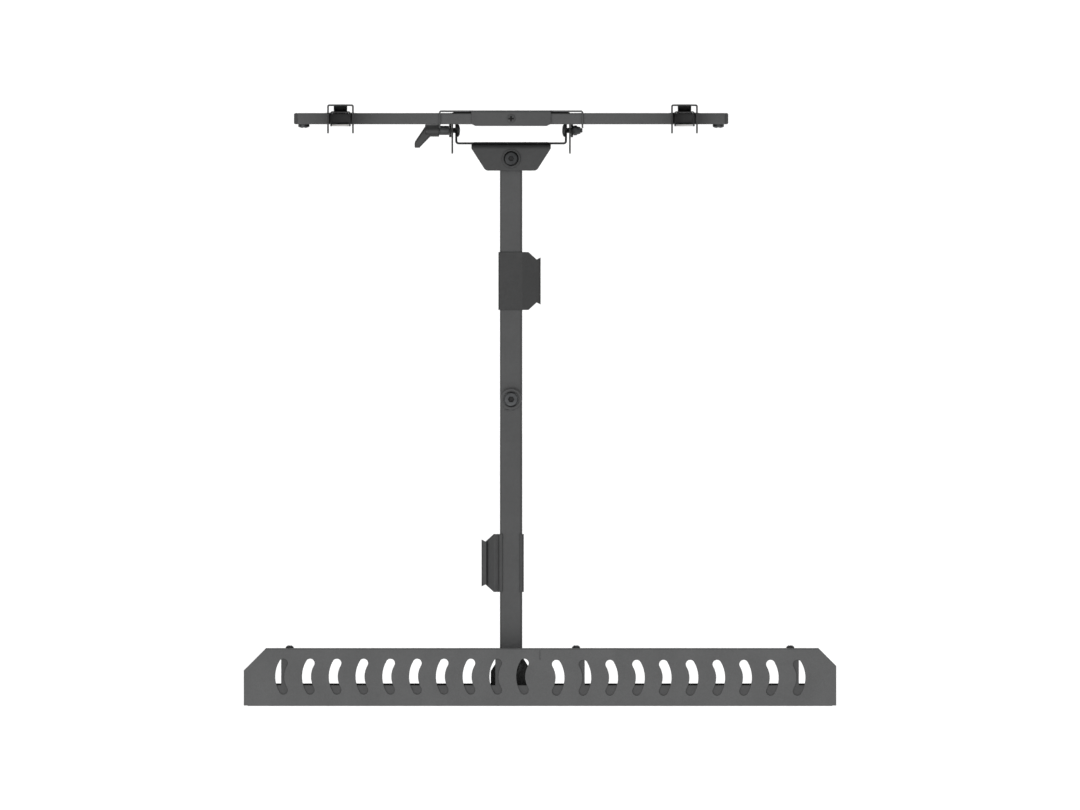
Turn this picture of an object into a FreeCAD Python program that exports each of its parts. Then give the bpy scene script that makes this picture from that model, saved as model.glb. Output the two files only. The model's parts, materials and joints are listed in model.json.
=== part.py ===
import FreeCAD, Part
import math
import os

# Swivelling wall mount for a flat television, with its arms stretched straight out from the wall.
# The wall is the plane Y = 0 and the room lies towards -Y. +Z is up. The origin is the middle of
# the wall plate's back face. Left is +X, the side of the clamp lever. All lengths are millimetres.

# Fits
FIT = 0.1                     # radial or side clearance of a piece held in its seat
RUN = 0.05                    # radial clearance of a bolt turning in its bush or ear
PLAY = 0.1                    # end play between plates that turn on each other
SLIDE_FIT = 0.4               # clearance of a rail in the windows that slide along it

# Wall plate, a folded channel with forward tabs
PLATE_MARGIN = 20.2           # end of the outer stud slots to the end of the plate
PLATE_SHEET = 2.5
PLATE_BEND = 2.5
TOP_FLANGE = 24.1
BOTTOM_FLANGE = 26.3
TAB_WIDTH = 20.0
TAB_DROP = 15.0
TAB_INNER_X = 42.0            # middle of the plate to the inner tabs
TAB_OUTER_X = 291.0           # middle of the plate to the outer tabs
STUD_SLOT_WIDTH = 9.0
STUD_SLOT_LENGTH = 30.0
STUD_PITCH_WIDE = 609.6       # wall studs 24 inches apart
STUD_PITCH_NARROW = 406.4     # wall studs 16 inches apart
STUD_ROW_PITCH = 84.0         # upper row of stud slots to lower row

# Covers, one sheet over and one under the wall plate
COVER_OVERHANG = 4.5          # end of the wall plate to the end of a cover
COVER_DEPTH = 67.4
COVER_HEIGHT = 134.0          # over both covers
COVER_SHEET = 1.5
COVER_BEND = 1.0
COVER_LIP = 18.0
COVER_WALL_GAP = 0.5
CENTRE_MARK_LENGTH = 13.0     # shallow groove that shows the middle of the mount
CENTRE_MARK_WIDTH = 1.6
CENTRE_MARK_DEPTH = 0.3
LEFT_CHAMFER = 26.0
RIGHT_CHAMFER = 20.8
CRESCENT_COUNT = 10           # on each side of the middle
CRESCENT_PITCH = 31.13
CRESCENT_WIDTH = 10.3
CRESCENT_RADIUS = 30.8        # of the middle line
CRESCENT_CHORD = 31.2         # between the centres of the round ends
LEFT_CRESCENT_X = 22.5        # middle of the cover to the first crescent's middle line
RIGHT_CRESCENT_X = 23.3
LEFT_CRESCENT_Y = -34.2
RIGHT_CRESCENT_Y = -32.9
COVER_SCREW_D = 5.0
COVER_SCREW_HEAD_D = 9.5
COVER_SCREW_HEAD = 3.4
COVER_SCREW_LENGTH = 10.0

# Arm chain
ARM_X = 33.6                  # arm line beside the middle of the wall plate
WALL_PIVOT_OUT = 46.5         # wall to first pivot
REAR_ARM_LENGTH = 310.0       # wall pivot to elbow
FRONT_ARM_LENGTH = 280.0      # elbow to head pivot
ARM_WIDTH = 26.0
ARM_CORNER = 3.5
REAR_ARM_HEIGHT = 60.0
REAR_ARM_WALL = 3.0
FRONT_ARM_WALL = 2.5
FORK_DEPTH = 48.0             # elbow axis to the bottom of the fork
FORK_CORNER = 10.0
PLUG_TAIL = 24.0              # pivot axis to the inner end of an end plug

# Pivots
BUSH_FLANGE = 1.5
BUSH_FLANGE_D = 21.0
BUSH_BODY_D = 14.0
BUSH_LENGTH = 12.0
ARM_BOLT_D = 10.0
ARM_BOLT_HEAD_D = 18.2
ARM_BOLT_HEAD = 5.5
ARM_BOLT_SOCKET = 6.0
ARM_WASHER_D = 24.4
ARM_NUT_AF = 17.0
ARM_NUT_HEIGHT = 10.0
HEAD_BOLT_D = 8.0
HEAD_BOLT_HEAD_D = 17.4
HEAD_BOLT_HEAD = 4.4
HEAD_BOLT_SOCKET = 5.0
HEAD_WASHER_D = 21.6
HEAD_NUT_AF = 13.0
HEAD_NUT_HEIGHT = 8.0
WASHER_THICK = 2.0
BOLT_TIP = 2.0                # thread showing past a nut

# Wall knuckle
WALL_KNUCKLE_SHEET = 4.0
WALL_KNUCKLE_WIDTH = 47.4
WALL_KNUCKLE_STRAIGHT = 40.7  # wall to where the sides turn in
WALL_KNUCKLE_NOSE = 15.0      # pivot to the front edge
WALL_KNUCKLE_NOSE_WIDTH = 20.6
WALL_KNUCKLE_NOSE_R = 8.0
KNUCKLE_BEND = 3.0
KNUCKLE_TURN_R = 3.0          # where the sides of a knuckle turn in

# Head knuckle
HEAD_KNUCKLE_SHEET = 3.0
HEAD_KNUCKLE_WIDTH = 92.4
HEAD_KNUCKLE_STRAIGHT = 4.8   # length of the square sides beside the web
HEAD_KNUCKLE_TAIL = 14.0      # pivot to the rear edge
HEAD_KNUCKLE_TAIL_WIDTH = 59.4
HEAD_KNUCKLE_TAIL_R = 6.0
NOSE_CLEARANCE = 0.5          # arm nose to knuckle web

# Tilt bracket and yoke
TILT_SHEET = 2.5
TILT_BEND = 1.5
TILT_WIDTH = 130.0
TILT_HEIGHT = 48.0
TILT_NOTCH_WIDTH = 109.4      # lowered middle of the web
TILT_NOTCH_DEPTH = 8.0
TILT_REACH = 13.8             # tilt bracket web to tilt axis
TILT_EAR_R = 14.0
TILT_SHOULDER_R = 4.0
YOKE_GAP = 2.4                # tilt bracket ear to yoke ear
YOKE_SHEET = 2.0
YOKE_TAIL = 27.0              # tilt axis to the rear end of the yoke ears
YOKE_TAIL_R = 14.0
YOKE_RAIL_GAP = 1.5           # yoke to the rail above or below it
TILT_TO_PLATE = 21.3          # tilt axis to the back of the head plate
TILT_BOLT_D = 6.0
TILT_BOLT_NECK = 6.4
TILT_BOLT_HEAD_D = 15.0
TILT_BOLT_HEAD = 3.2
TILT_BOLT_TIP = 4.5
TILT_WASHER_D = 16.0
TILT_WASHER_THICK = 2.6
TILT_NUT_AF = 10.0
TILT_NUT_HEIGHT = 6.4

# Clamp lever
LEVER_NECK_D = 10.7
LEVER_NECK = 11.5
LEVER_CORE_D = 8.0            # part of the steel insert inside the hub
LEVER_HUB_D = 14.6
LEVER_HUB = 16.3
LEVER_REACH = 19.5            # tilt axis to the tip
LEVER_SPREAD = 11.7           # hub end to the outer side of the tip
LEVER_TIP_WIDTH = 5.8
LEVER_HEEL = 6.0              # hub end to where the inner side leaves the hub
LEVER_THICK = 11.0
LEVER_EDGE = 1.4

# Head plate and rails
HEAD_SHEET = 2.0
HEAD_BEND = 1.0
HEAD_WIDTH = 168.0
HEAD_FLANGE = 20.6
HEAD_TAB_WIDTH = 92.5
HEAD_TAB_DEPTH = 18.2
HEAD_TAB_CHAMFER = 5.0
HEAD_TAB_CHAMFER_DEPTH = 2.3
BEND_RELIEF = 2.0
SCALLOP_R = 8.5               # relief in the side flanges round the tilt bolts
RAIL_GAP = 1.1                # head plate to rail
RAIL_DEPTH = 13.1
RAIL_HEIGHT = 30.0
RAIL_WALL = 1.5
RAIL_CORNER = 1.7
RAIL_PITCH = 84.0             # upper rail to lower rail
RAIL_CAP = 4.0
RAIL_CAP_EDGE = 2.0           # rounding of a cap's upright outer edges
RAIL_SCREW_D = 5.0
RAIL_SCREW_HEAD_D = 10.0
RAIL_SCREW_HEAD = 2.4
RAIL_SCREW_LENGTH = 8.0
STOP_INSET = 11.5             # end of the rail to a stop screw
STOP_ROOM = 18.9              # television arm's outer side to the head of a stop screw
STOP_D = 6.0
STOP_LENGTH = 8.0
STOP_HEAD_D = 13.2
STOP_HEAD = 4.6

# Television arms
TV_ARM_PITCH = 400.0
TV_SHIFT = -1.6               # middle between the arms beside the arm line
TV_ARM_WIDTH = 31.0
TV_ARM_DEPTH = 33.7
TV_ARM_END = 20.0             # outermost screw hole to the end of an arm
TV_ARM_SHEET = 2.0
TV_ARM_BEND = 0.6
TV_ARM_LEAD = 7.0             # head plate to the arms' front face
TV_HOLE_D = 8.6
TV_HOLE_PITCHES = (200.0, 300.0, 400.0)

# Rail clamps inside the television arms
CLAMP_WIDTH = 23.7
CLAMP_SHEET = 1.7
CLAMP_BEND = 0.8
CLAMP_HEIGHT = 44.0
CLAMP_TAIL = 2.4              # back of the rail to the ends of the legs
SPACER_WIDTH = 15.7
SPACER_HEIGHT = 24.0
SPACER_CORNER = 2.0
PAD_HEIGHT = 40.0
CLAMP_SCREW_D = 5.0
CLAMP_SCREW_HEAD_D = 8.6

# Cable clips
CLIP_LENGTH = 67.4
CLIP_WALL = 1.6
CLIP_FIT = 0.2
CLIP_HOOK = 3.0
CLIP_REACH = 21.4             # tube side to the outer face of the trough
CLIP_FALL = 3.0               # drop of the trough's roof towards its outer wall
CLIP_FLOOR_RISE = 6.0         # bottom of the tube to the trough's floor
CLIP_SHELF = 5.2              # flat floor on the tube's side
CLIP_LIP = 5.0                # flat floor on the outer side
CLIP_SLIT = 1.0               # slit between the outer floor and the flap
CLIP_FLAP = 3.5               # rise of the flap that bends in when a cable is pushed through the slit
CLIP_CORNER_START = 7.2       # tube side to where the roof's corners are cut
CLIP_CORNER_DEPTH = 8.7
CLIP_EAR_WIDTH = 4.7
CLIP_EAR = 2.4
FRONT_CLIP_AT = 137.7         # elbow to the middle of the front clip
REAR_CLIP_AT = 119.8          # wall pivot to the middle of the rear clip

# Places worked out from the sizes above
WALL_PIVOT_Y = -WALL_PIVOT_OUT
ELBOW_Y = WALL_PIVOT_Y - REAR_ARM_LENGTH
HEAD_PIVOT_Y = ELBOW_Y - FRONT_ARM_LENGTH
PLATE_WIDTH = STUD_PITCH_WIDE + STUD_SLOT_LENGTH + 2 * PLATE_MARGIN
PLATE_HEIGHT = COVER_HEIGHT - 2 * COVER_SHEET
COVER_WIDTH = PLATE_WIDTH + 2 * COVER_OVERHANG
NOSE_R = ARM_WIDTH / 2
REAR_HALF = REAR_ARM_HEIGHT / 2
FRONT_HALF = REAR_HALF - REAR_ARM_WALL - BUSH_FLANGE - PLAY
WALL_GRIP_Z = REAR_HALF + BUSH_FLANGE + PLAY         # inner faces of the wall knuckle's plates
HEAD_GRIP_Z = FRONT_HALF + BUSH_FLANGE + PLAY        # inner faces of the head knuckle's plates
HEAD_WEB_Y = HEAD_PIVOT_Y - NOSE_R - NOSE_CLEARANCE - HEAD_KNUCKLE_SHEET
TILT_WEB_Y = HEAD_WEB_Y - TILT_SHEET
TILT_Y = TILT_WEB_Y - TILT_REACH
YOKE_X = TILT_WIDTH / 2 + YOKE_GAP                   # head middle to a yoke ear's inner face
WASHER_X = YOKE_X + YOKE_SHEET + PLAY                # head middle to a tilt washer's inner face
NUT_X = WASHER_X + TILT_WASHER_THICK                 # head middle to the tilt nut's seat
LEVER_X = ARM_X + NUT_X + PLAY                       # foot of the clamp lever
HEAD_BACK_Y = TILT_Y - TILT_TO_PLATE
HEAD_FRONT_Y = HEAD_BACK_Y - HEAD_SHEET
RAIL_FRONT_Y = HEAD_BACK_Y + RAIL_GAP
RAIL_BACK_Y = RAIL_FRONT_Y + RAIL_DEPTH
RAIL_Y = (RAIL_FRONT_Y + RAIL_BACK_Y) / 2
RAIL_Z = RAIL_PITCH / 2
STOP_X = (TV_ARM_PITCH + TV_ARM_WIDTH + STOP_HEAD_D) / 2 + STOP_ROOM   # head middle to a stop screw
RAIL_LENGTH = 2 * (STOP_X + STOP_INSET)              # over the end caps
RAIL_CAP_PLUG = STOP_INSET - RAIL_CAP - STOP_D / 2 - SLIDE_FIT
HEAD_HALF = RAIL_Z + RAIL_HEIGHT / 2 + SLIDE_FIT + HEAD_SHEET
HEAD_FOLD_Z = HEAD_HALF - HEAD_SHEET - 2 * HEAD_BEND
YOKE_HALF = RAIL_Z - RAIL_HEIGHT / 2 - YOKE_RAIL_GAP
TV_MIDDLE_X = ARM_X + TV_SHIFT
TV_ARM_X = TV_MIDDLE_X + TV_ARM_PITCH / 2
TV_ARM_HEIGHT = max(TV_HOLE_PITCHES) + 2 * TV_ARM_END
TV_FACE_Y = HEAD_FRONT_Y - TV_ARM_LEAD
TV_BACK_Y = TV_FACE_Y + TV_ARM_DEPTH
CLAMP_BACK_Y = RAIL_FRONT_Y - SLIDE_FIT              # rear face of a clamp's web
CLAMP_FRONT_Y = CLAMP_BACK_Y - CLAMP_SHEET
CLAMP_TAIL_Y = RAIL_BACK_Y + CLAMP_TAIL
COVER_SCREW_Z = PLATE_HEIGHT / 2 - PLATE_SHEET - TAB_DROP / 2
TAB_XS = (TAB_OUTER_X, TAB_INNER_X, -TAB_INNER_X, -TAB_OUTER_X)
COVER_SCREW_XS = (TAB_OUTER_X, -TAB_INNER_X, -TAB_OUTER_X)   # the tab behind the arm has none

Vector = FreeCAD.Vector
UP = Vector(0, 0, 1)
DOWN = Vector(0, 0, -1)
LEFT = Vector(1, 0, 0)
RIGHT = Vector(-1, 0, 0)
TO_ROOM = Vector(0, -1, 0)
TO_WALL = Vector(0, 1, 0)


def plan(u, v, w):
    """Point at (x, y) = (u, v) and height w."""
    return Vector(u, v, w)


def side(u, v, w):
    """Point at (y, z) = (u, v) and x = w."""
    return Vector(w, u, v)


def front(u, v, w):
    """Point at (z, x) = (u, v) and y = w."""
    return Vector(v, w, u)


def prism(corners, plane, start, length):
    """Solid on an outline of (u, v, radius) corners, each rounded by its tangent arc."""
    spots = []
    for i, (u, v, radius) in enumerate(corners):
        here = Vector(u, v, 0)
        before, after = corners[i - 1], corners[(i + 1) % len(corners)]
        back = (Vector(before[0], before[1], 0) - here).normalize()
        ahead = (Vector(after[0], after[1], 0) - here).normalize()
        half = back.getAngle(ahead) / 2
        run = radius / math.tan(half)
        crown = here + (back + ahead).normalize() * (radius / math.sin(half) - radius)
        spots.append((here + back * run, crown, here + ahead * run))
    spots = [[plane(spot.x, spot.y, start) for spot in three] for three in spots]
    edges = []
    for i, (first, crown, last) in enumerate(spots):
        if first.distanceToPoint(last) > 1e-6:
            edges.append(Part.Arc(first, crown, last).toShape())
        following = spots[(i + 1) % len(spots)][0]
        if last.distanceToPoint(following) > 1e-6:
            edges.append(Part.LineSegment(last, following).toShape())
    face = Part.Face(Part.Wire(edges))
    return face.extrude(plane(0, 0, length) - plane(0, 0, 0))


def folded(path, sheet, bend, plane, start, length):
    """Folded sheet: the path is the sheet's middle line and every bend has one inside radius."""
    points = [Vector(u, v, 0) for u, v in path]
    runs = [(b - a).normalize() for a, b in zip(points, points[1:])]
    near, far = [], []
    for i, point in enumerate(points):
        before, after = runs[max(i - 1, 0)], runs[min(i, len(runs) - 1)]
        turn = before.x * after.y - before.y * after.x
        across = Vector(-before.y - after.y, before.x + after.x, 0) / (1 + before.dot(after))
        across *= sheet / 2
        inside, outside = (bend, bend + sheet) if abs(turn) > 1e-9 else (0, 0)
        near_r, far_r = (inside, outside) if turn > 0 else (outside, inside)
        near.append((point.x + across.x, point.y + across.y, near_r))
        far.append((point.x - across.x, point.y - across.y, far_r))
    return prism(near + far[::-1], plane, start, length)


def rounded(u, v, half_u, half_v, radius, plane, start, length):
    """Solid on a rounded rectangle about (u, v)."""
    corners = [(u - half_u, v - half_v, radius), (u + half_u, v - half_v, radius),
               (u + half_u, v + half_v, radius), (u - half_u, v + half_v, radius)]
    return prism(corners, plane, start, length)


def block(x, y, z):
    """Box between two limits on each axis."""
    low = Vector(min(x), min(y), min(z))
    return Part.makeBox(max(x) - min(x), max(y) - min(y), max(z) - min(z), low)


def rod(diameter, base, direction, length):
    """Round bar from a base point along a direction."""
    return Part.makeCylinder(diameter / 2, length, base, direction)


def washer(diameter, bore, thick, base, direction):
    """Flat ring standing on a base point."""
    return rod(diameter, base, direction, thick).cut(rod(bore, base, direction, thick))


def hexagon(across, base, direction, length):
    """Hexagonal bar of a width across flats."""
    turn = FreeCAD.Rotation(UP, direction)
    arm = Vector(across / math.sqrt(3), 0, 0)
    spokes = [FreeCAD.Rotation(UP, 60 * k).multVec(arm) for k in range(7)]
    points = [base + turn.multVec(spoke) for spoke in spokes]
    return Part.Face(Part.makePolygon(points)).extrude(direction * length)


def domed(diameter, height, rim, base, direction):
    """Low domed screw head with a straight rim."""
    r, crown = diameter / 2, height - rim
    ball = (r * r + crown * crown) / (2 * crown)
    bulge = Vector(r / 2, 0, height - ball + math.sqrt(ball * ball - r * r / 4))
    edges = [Part.LineSegment(Vector(), Vector(r, 0, 0)).toShape(),
             Part.LineSegment(Vector(r, 0, 0), Vector(r, 0, rim)).toShape(),
             Part.Arc(Vector(r, 0, rim), bulge, Vector(0, 0, height)).toShape(),
             Part.LineSegment(Vector(0, 0, height), Vector()).toShape()]
    shape = Part.Face(Part.Wire(edges)).revolve(Vector(), UP, 360)
    shape.Placement = FreeCAD.Placement(base, FreeCAD.Rotation(UP, direction))
    return shape


def pan_screw(diameter, length, head_d, head, base, direction):
    """Pan-head screw: the head stands on the base point and the shank runs along the direction."""
    return domed(head_d, head, head * 0.5, base, direction * -1).fuse(rod(diameter, base, direction, length))


def lock_nut(across, height, bore, base, direction):
    """Self-locking nut: a hexagon with a round collar on its outer end."""
    collar = rod(across * 0.94, base, direction, height)
    return hexagon(across, base, direction, height * 0.72).fuse(collar).cut(rod(bore, base, direction, height))


def mirror_x(shape, x=0.0):
    """Copy reflected left to right about a plane at x."""
    return shape.mirror(Vector(x, 0, 0), LEFT)


def mirror_z(shape):
    """Copy reflected top to bottom."""
    return shape.mirror(Vector(), UP)


def wall_plate():
    """Channel against the wall, with tabs that carry the covers and slots for the wall screws."""
    z = (PLATE_HEIGHT - PLATE_SHEET) / 2
    back = -PLATE_SHEET / 2
    path = [(-TOP_FLANGE, z), (back, z), (back, -z), (-BOTTOM_FLANGE, -z)]
    plate = folded(path, PLATE_SHEET, PLATE_BEND, side, -PLATE_WIDTH / 2, PLATE_WIDTH)
    tip = -(COVER_DEPTH - COVER_SHEET - FIT - PLATE_SHEET / 2)
    cuts = []
    for x in TAB_XS:
        path = [(-TOP_FLANGE / 2, z), (tip, z), (tip, z - PLATE_SHEET / 2 - TAB_DROP)]
        tab = folded(path, PLATE_SHEET, PLATE_BEND, side, x - TAB_WIDTH / 2, TAB_WIDTH)
        plate = plate.fuse([tab, mirror_z(tab)])
    for x in COVER_SCREW_XS:
        base = Vector(x, -COVER_DEPTH, COVER_SCREW_Z)
        hole = rod(COVER_SCREW_D + 2 * FIT, base, TO_WALL, COVER_DEPTH / 2)
        cuts += [hole, mirror_z(hole)]
    for pitch in (STUD_PITCH_WIDE, STUD_PITCH_NARROW):
        for x in (pitch / 2, -pitch / 2):
            hole = rounded(STUD_ROW_PITCH / 2, x, STUD_SLOT_WIDTH / 2, STUD_SLOT_LENGTH / 2,
                           STUD_SLOT_WIDTH / 2, front, -PLATE_SHEET, PLATE_SHEET)
            cuts += [hole, mirror_z(hole)]
    return plate.cut(cuts).removeSplitter()


def crescent(x, y, z, height):
    """Cutter for one crescent slot whose middle line bulges towards +X through (x, y)."""
    r, half = CRESCENT_RADIUS, CRESCENT_WIDTH / 2
    swing = math.degrees(math.asin(CRESCENT_CHORD / 2 / r))
    centre = Vector(x - r, y, z)

    def at(radius, turn):
        return centre + FreeCAD.Rotation(UP, turn).multVec(Vector(radius, 0, 0))

    def tip(turn, way):
        return at(r, turn) + FreeCAD.Rotation(UP, turn).multVec(Vector(0, way * half, 0))

    edges = [Part.Arc(at(r + half, -swing), at(r + half, 0), at(r + half, swing)).toShape(),
             Part.Arc(at(r + half, swing), tip(swing, 1), at(r - half, swing)).toShape(),
             Part.Arc(at(r - half, swing), at(r - half, 0), at(r - half, -swing)).toShape(),
             Part.Arc(at(r - half, -swing), tip(-swing, -1), at(r + half, -swing)).toShape()]
    return Part.Face(Part.Wire(edges)).extrude(Vector(0, 0, height))


def cover_side_cuts(chamfer, crescent_x, crescent_y):
    """Cutters of a cover's +X side: its chamfered corner and its row of crescent slots."""
    end, edge = COVER_WIDTH / 2, -COVER_DEPTH
    corner = [(end, edge, 0), (end, edge + chamfer, 0), (end - chamfer, edge, 0)]
    cuts = [prism(corner, plan, 0, COVER_HEIGHT)]
    for k in range(CRESCENT_COUNT):
        x = crescent_x + k * CRESCENT_PITCH
        cuts.append(crescent(x, crescent_y, COVER_HEIGHT / 2 - 2 * COVER_SHEET, 3 * COVER_SHEET))
    return cuts


def top_cover():
    """Upper cover: a sheet with a row of crescent slots on each side and a turned-down front lip."""
    z, top = (COVER_HEIGHT - COVER_SHEET) / 2, COVER_HEIGHT / 2
    edge, half_mark = -COVER_DEPTH, CENTRE_MARK_WIDTH / 2
    lip_y = edge + COVER_SHEET / 2
    path = [(-COVER_WALL_GAP, z), (lip_y, z), (lip_y, top - COVER_LIP)]
    cover = folded(path, COVER_SHEET, COVER_BEND, side, -COVER_WIDTH / 2, COVER_WIDTH)
    cuts = cover_side_cuts(LEFT_CHAMFER, LEFT_CRESCENT_X, LEFT_CRESCENT_Y)
    cuts += [mirror_x(cut) for cut in cover_side_cuts(RIGHT_CHAMFER, RIGHT_CRESCENT_X, RIGHT_CRESCENT_Y)]
    mark = block((-half_mark, half_mark), (edge, edge + CENTRE_MARK_LENGTH), (top - CENTRE_MARK_DEPTH, top))
    cuts.append(mark)
    for x in COVER_SCREW_XS:
        cuts.append(rod(COVER_SCREW_D + 2 * FIT, Vector(x, edge, COVER_SCREW_Z), TO_WALL, COVER_DEPTH / 2))
    return cover.cut(cuts)


def cover_screws():
    """Pan-head screws through the cover lips into the plate's tabs."""
    screws = []
    for x in COVER_SCREW_XS:
        base = Vector(x, -COVER_DEPTH, COVER_SCREW_Z)
        screw = pan_screw(COVER_SCREW_D, COVER_SCREW_LENGTH, COVER_SCREW_HEAD_D, COVER_SCREW_HEAD,
                          base, TO_WALL)
        screws += [screw, mirror_z(screw)]
    return screws


def knuckle(outline, web_y, end_y, grip_z, sheet, pivot_y, bolt_d):
    """C-shaped bracket: two plates of one outline, above and below an arm, joined by a web."""
    z = grip_z + sheet / 2
    xs = [corner[0] for corner in outline]
    path = [(end_y, z), (web_y, z), (web_y, -z), (end_y, -z)]
    bracket = folded(path, sheet, KNUCKLE_BEND, side, min(xs), max(xs) - min(xs))
    tall = grip_z + sheet
    bracket = bracket.common(prism(outline, plan, -tall, 2 * tall))
    return bracket.cut(rod(bolt_d + 2 * FIT, Vector(ARM_X, pivot_y, -tall), UP, 2 * tall))


def wall_knuckle():
    """Bracket on the wall plate that holds the rear arm."""
    nose, turn = WALL_PIVOT_Y - WALL_KNUCKLE_NOSE, -WALL_KNUCKLE_STRAIGHT
    wide, narrow = WALL_KNUCKLE_WIDTH / 2, WALL_KNUCKLE_NOSE_WIDTH / 2
    outline = [(ARM_X - wide, -PLATE_SHEET, 0), (ARM_X - wide, turn, KNUCKLE_TURN_R),
               (ARM_X - narrow, nose, WALL_KNUCKLE_NOSE_R), (ARM_X + narrow, nose, WALL_KNUCKLE_NOSE_R),
               (ARM_X + wide, turn, KNUCKLE_TURN_R), (ARM_X + wide, -PLATE_SHEET, 0)]
    web = -PLATE_SHEET - WALL_KNUCKLE_SHEET / 2
    return knuckle(outline, web, nose, WALL_GRIP_Z, WALL_KNUCKLE_SHEET, WALL_PIVOT_Y, ARM_BOLT_D)


def head_knuckle():
    """Bracket with trapezoid plates that holds the front arm's nose."""
    tail, turn = HEAD_PIVOT_Y + HEAD_KNUCKLE_TAIL, HEAD_WEB_Y + HEAD_KNUCKLE_STRAIGHT
    wide, narrow = HEAD_KNUCKLE_WIDTH / 2, HEAD_KNUCKLE_TAIL_WIDTH / 2
    outline = [(ARM_X - wide, HEAD_WEB_Y, 0), (ARM_X + wide, HEAD_WEB_Y, 0),
               (ARM_X + wide, turn, KNUCKLE_TURN_R), (ARM_X + narrow, tail, HEAD_KNUCKLE_TAIL_R),
               (ARM_X - narrow, tail, HEAD_KNUCKLE_TAIL_R), (ARM_X - wide, turn, KNUCKLE_TURN_R)]
    web = HEAD_WEB_Y + HEAD_KNUCKLE_SHEET / 2
    return knuckle(outline, web, tail, HEAD_GRIP_Z, HEAD_KNUCKLE_SHEET, HEAD_PIVOT_Y, HEAD_BOLT_D)


def pivot_set(y, seat_z, bolt_d, head_d, head, socket, washer_d, nut_af, nut_height):
    """Button-head bolt, pair of washers and nut that clamp two plates at one pivot."""
    bore = bolt_d + 2 * FIT
    top = seat_z + WASHER_THICK
    under_head, nut_seat = Vector(ARM_X, y, top), Vector(ARM_X, y, -top)
    cap = domed(head_d, head, head * 0.3, under_head, UP)
    cap = cap.cut(hexagon(socket, under_head + UP * (head * 0.4), UP, head))
    bolt = cap.fuse(rod(bolt_d, under_head, DOWN, 2 * top + nut_height + BOLT_TIP))
    ring = washer(washer_d, bore, WASHER_THICK, Vector(ARM_X, y, seat_z), UP)
    return bolt, [ring, mirror_z(ring)], lock_nut(nut_af, nut_height, bore, nut_seat, DOWN)


def arm_pivot_set(y, seat_z):
    """Fasteners of the wall pivot or the elbow."""
    return pivot_set(y, seat_z, ARM_BOLT_D, ARM_BOLT_HEAD_D, ARM_BOLT_HEAD, ARM_BOLT_SOCKET,
                     ARM_WASHER_D, ARM_NUT_AF, ARM_NUT_HEIGHT)


def head_pivot_set():
    """Fasteners of the head pivot."""
    return pivot_set(HEAD_PIVOT_Y, HEAD_GRIP_Z + HEAD_KNUCKLE_SHEET, HEAD_BOLT_D, HEAD_BOLT_HEAD_D,
                     HEAD_BOLT_HEAD, HEAD_BOLT_SOCKET, HEAD_WASHER_D, HEAD_NUT_AF, HEAD_NUT_HEIGHT)


def bushes(y, half, bolt_d):
    """Upper and lower flanged bushes of one arm end."""
    seat = Vector(ARM_X, y, half)
    bush = rod(BUSH_FLANGE_D, seat, UP, BUSH_FLANGE).fuse(rod(BUSH_BODY_D, seat, DOWN, BUSH_LENGTH))
    bush = bush.cut(rod(bolt_d + 2 * RUN, seat + UP * BUSH_FLANGE, DOWN, BUSH_FLANGE + BUSH_LENGTH))
    return [bush, mirror_z(bush)]


def arm_tube(y_from, y_to, half, wall, hole_from, hole_to):
    """Rectangular tube along Y whose ends are round in plan about the two pivots."""
    wide = ARM_WIDTH / 2
    start, length = y_to - NOSE_R, y_from - y_to + 2 * NOSE_R
    outer = rounded(0, ARM_X, half, wide, ARM_CORNER, front, start, length)
    inset = max(ARM_CORNER - wall, 0)
    inner = rounded(0, ARM_X, half - wall, wide - wall, inset, front, start, length)
    ends = rounded(ARM_X, start + length / 2, wide, length / 2, NOSE_R, plan, -half, 2 * half)
    holes = [rod(hole_from, Vector(ARM_X, y_from, -half), UP, 2 * half),
             rod(hole_to, Vector(ARM_X, y_to, -half), UP, 2 * half)]
    return outer.cut(inner).common(ends).cut(holes)


def rear_arm():
    """Rear tube: a round nose at the wall and an open fork at the elbow."""
    tube = arm_tube(WALL_PIVOT_Y, ELBOW_Y, REAR_HALF, REAR_ARM_WALL, BUSH_BODY_D + 2 * FIT,
                    ARM_BOLT_D + 2 * FIT)
    inside = REAR_HALF - REAR_ARM_WALL
    end, bottom = ELBOW_Y - ARM_WIDTH, ELBOW_Y + FORK_DEPTH
    gap = [(end, -inside, 0), (bottom, -inside, FORK_CORNER),
           (bottom, inside, FORK_CORNER), (end, inside, 0)]
    return tube.cut(prism(gap, side, ARM_X - ARM_WIDTH, 2 * ARM_WIDTH))


def front_arm():
    """Front tube with a round nose at each end."""
    hole = BUSH_BODY_D + 2 * FIT
    return arm_tube(ELBOW_Y, HEAD_PIVOT_Y, FRONT_HALF, FRONT_ARM_WALL, hole, hole)


def end_plug(y, way, half, wall):
    """Moulded plug in a tube's nose that also holds the bushes; way is the tube's run along Y."""
    wide, tall = ARM_WIDTH / 2 - wall - FIT, half - wall - FIT
    corner = max(ARM_CORNER - wall - FIT, 0)
    bar = rounded(0, ARM_X, tall, wide, corner, front, y - PLUG_TAIL, 2 * PLUG_TAIL)
    nose = rod(2 * (NOSE_R - FIT), Vector(ARM_X, y, -tall), UP, 2 * tall)
    tail = block((ARM_X - wide, ARM_X + wide), (y, y + way * PLUG_TAIL), (-tall, tall))
    bore = rod(BUSH_BODY_D + 2 * FIT, Vector(ARM_X, y, -tall), UP, 2 * tall)
    return bar.common(nose.fuse(tail)).cut(bore).removeSplitter()


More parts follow.
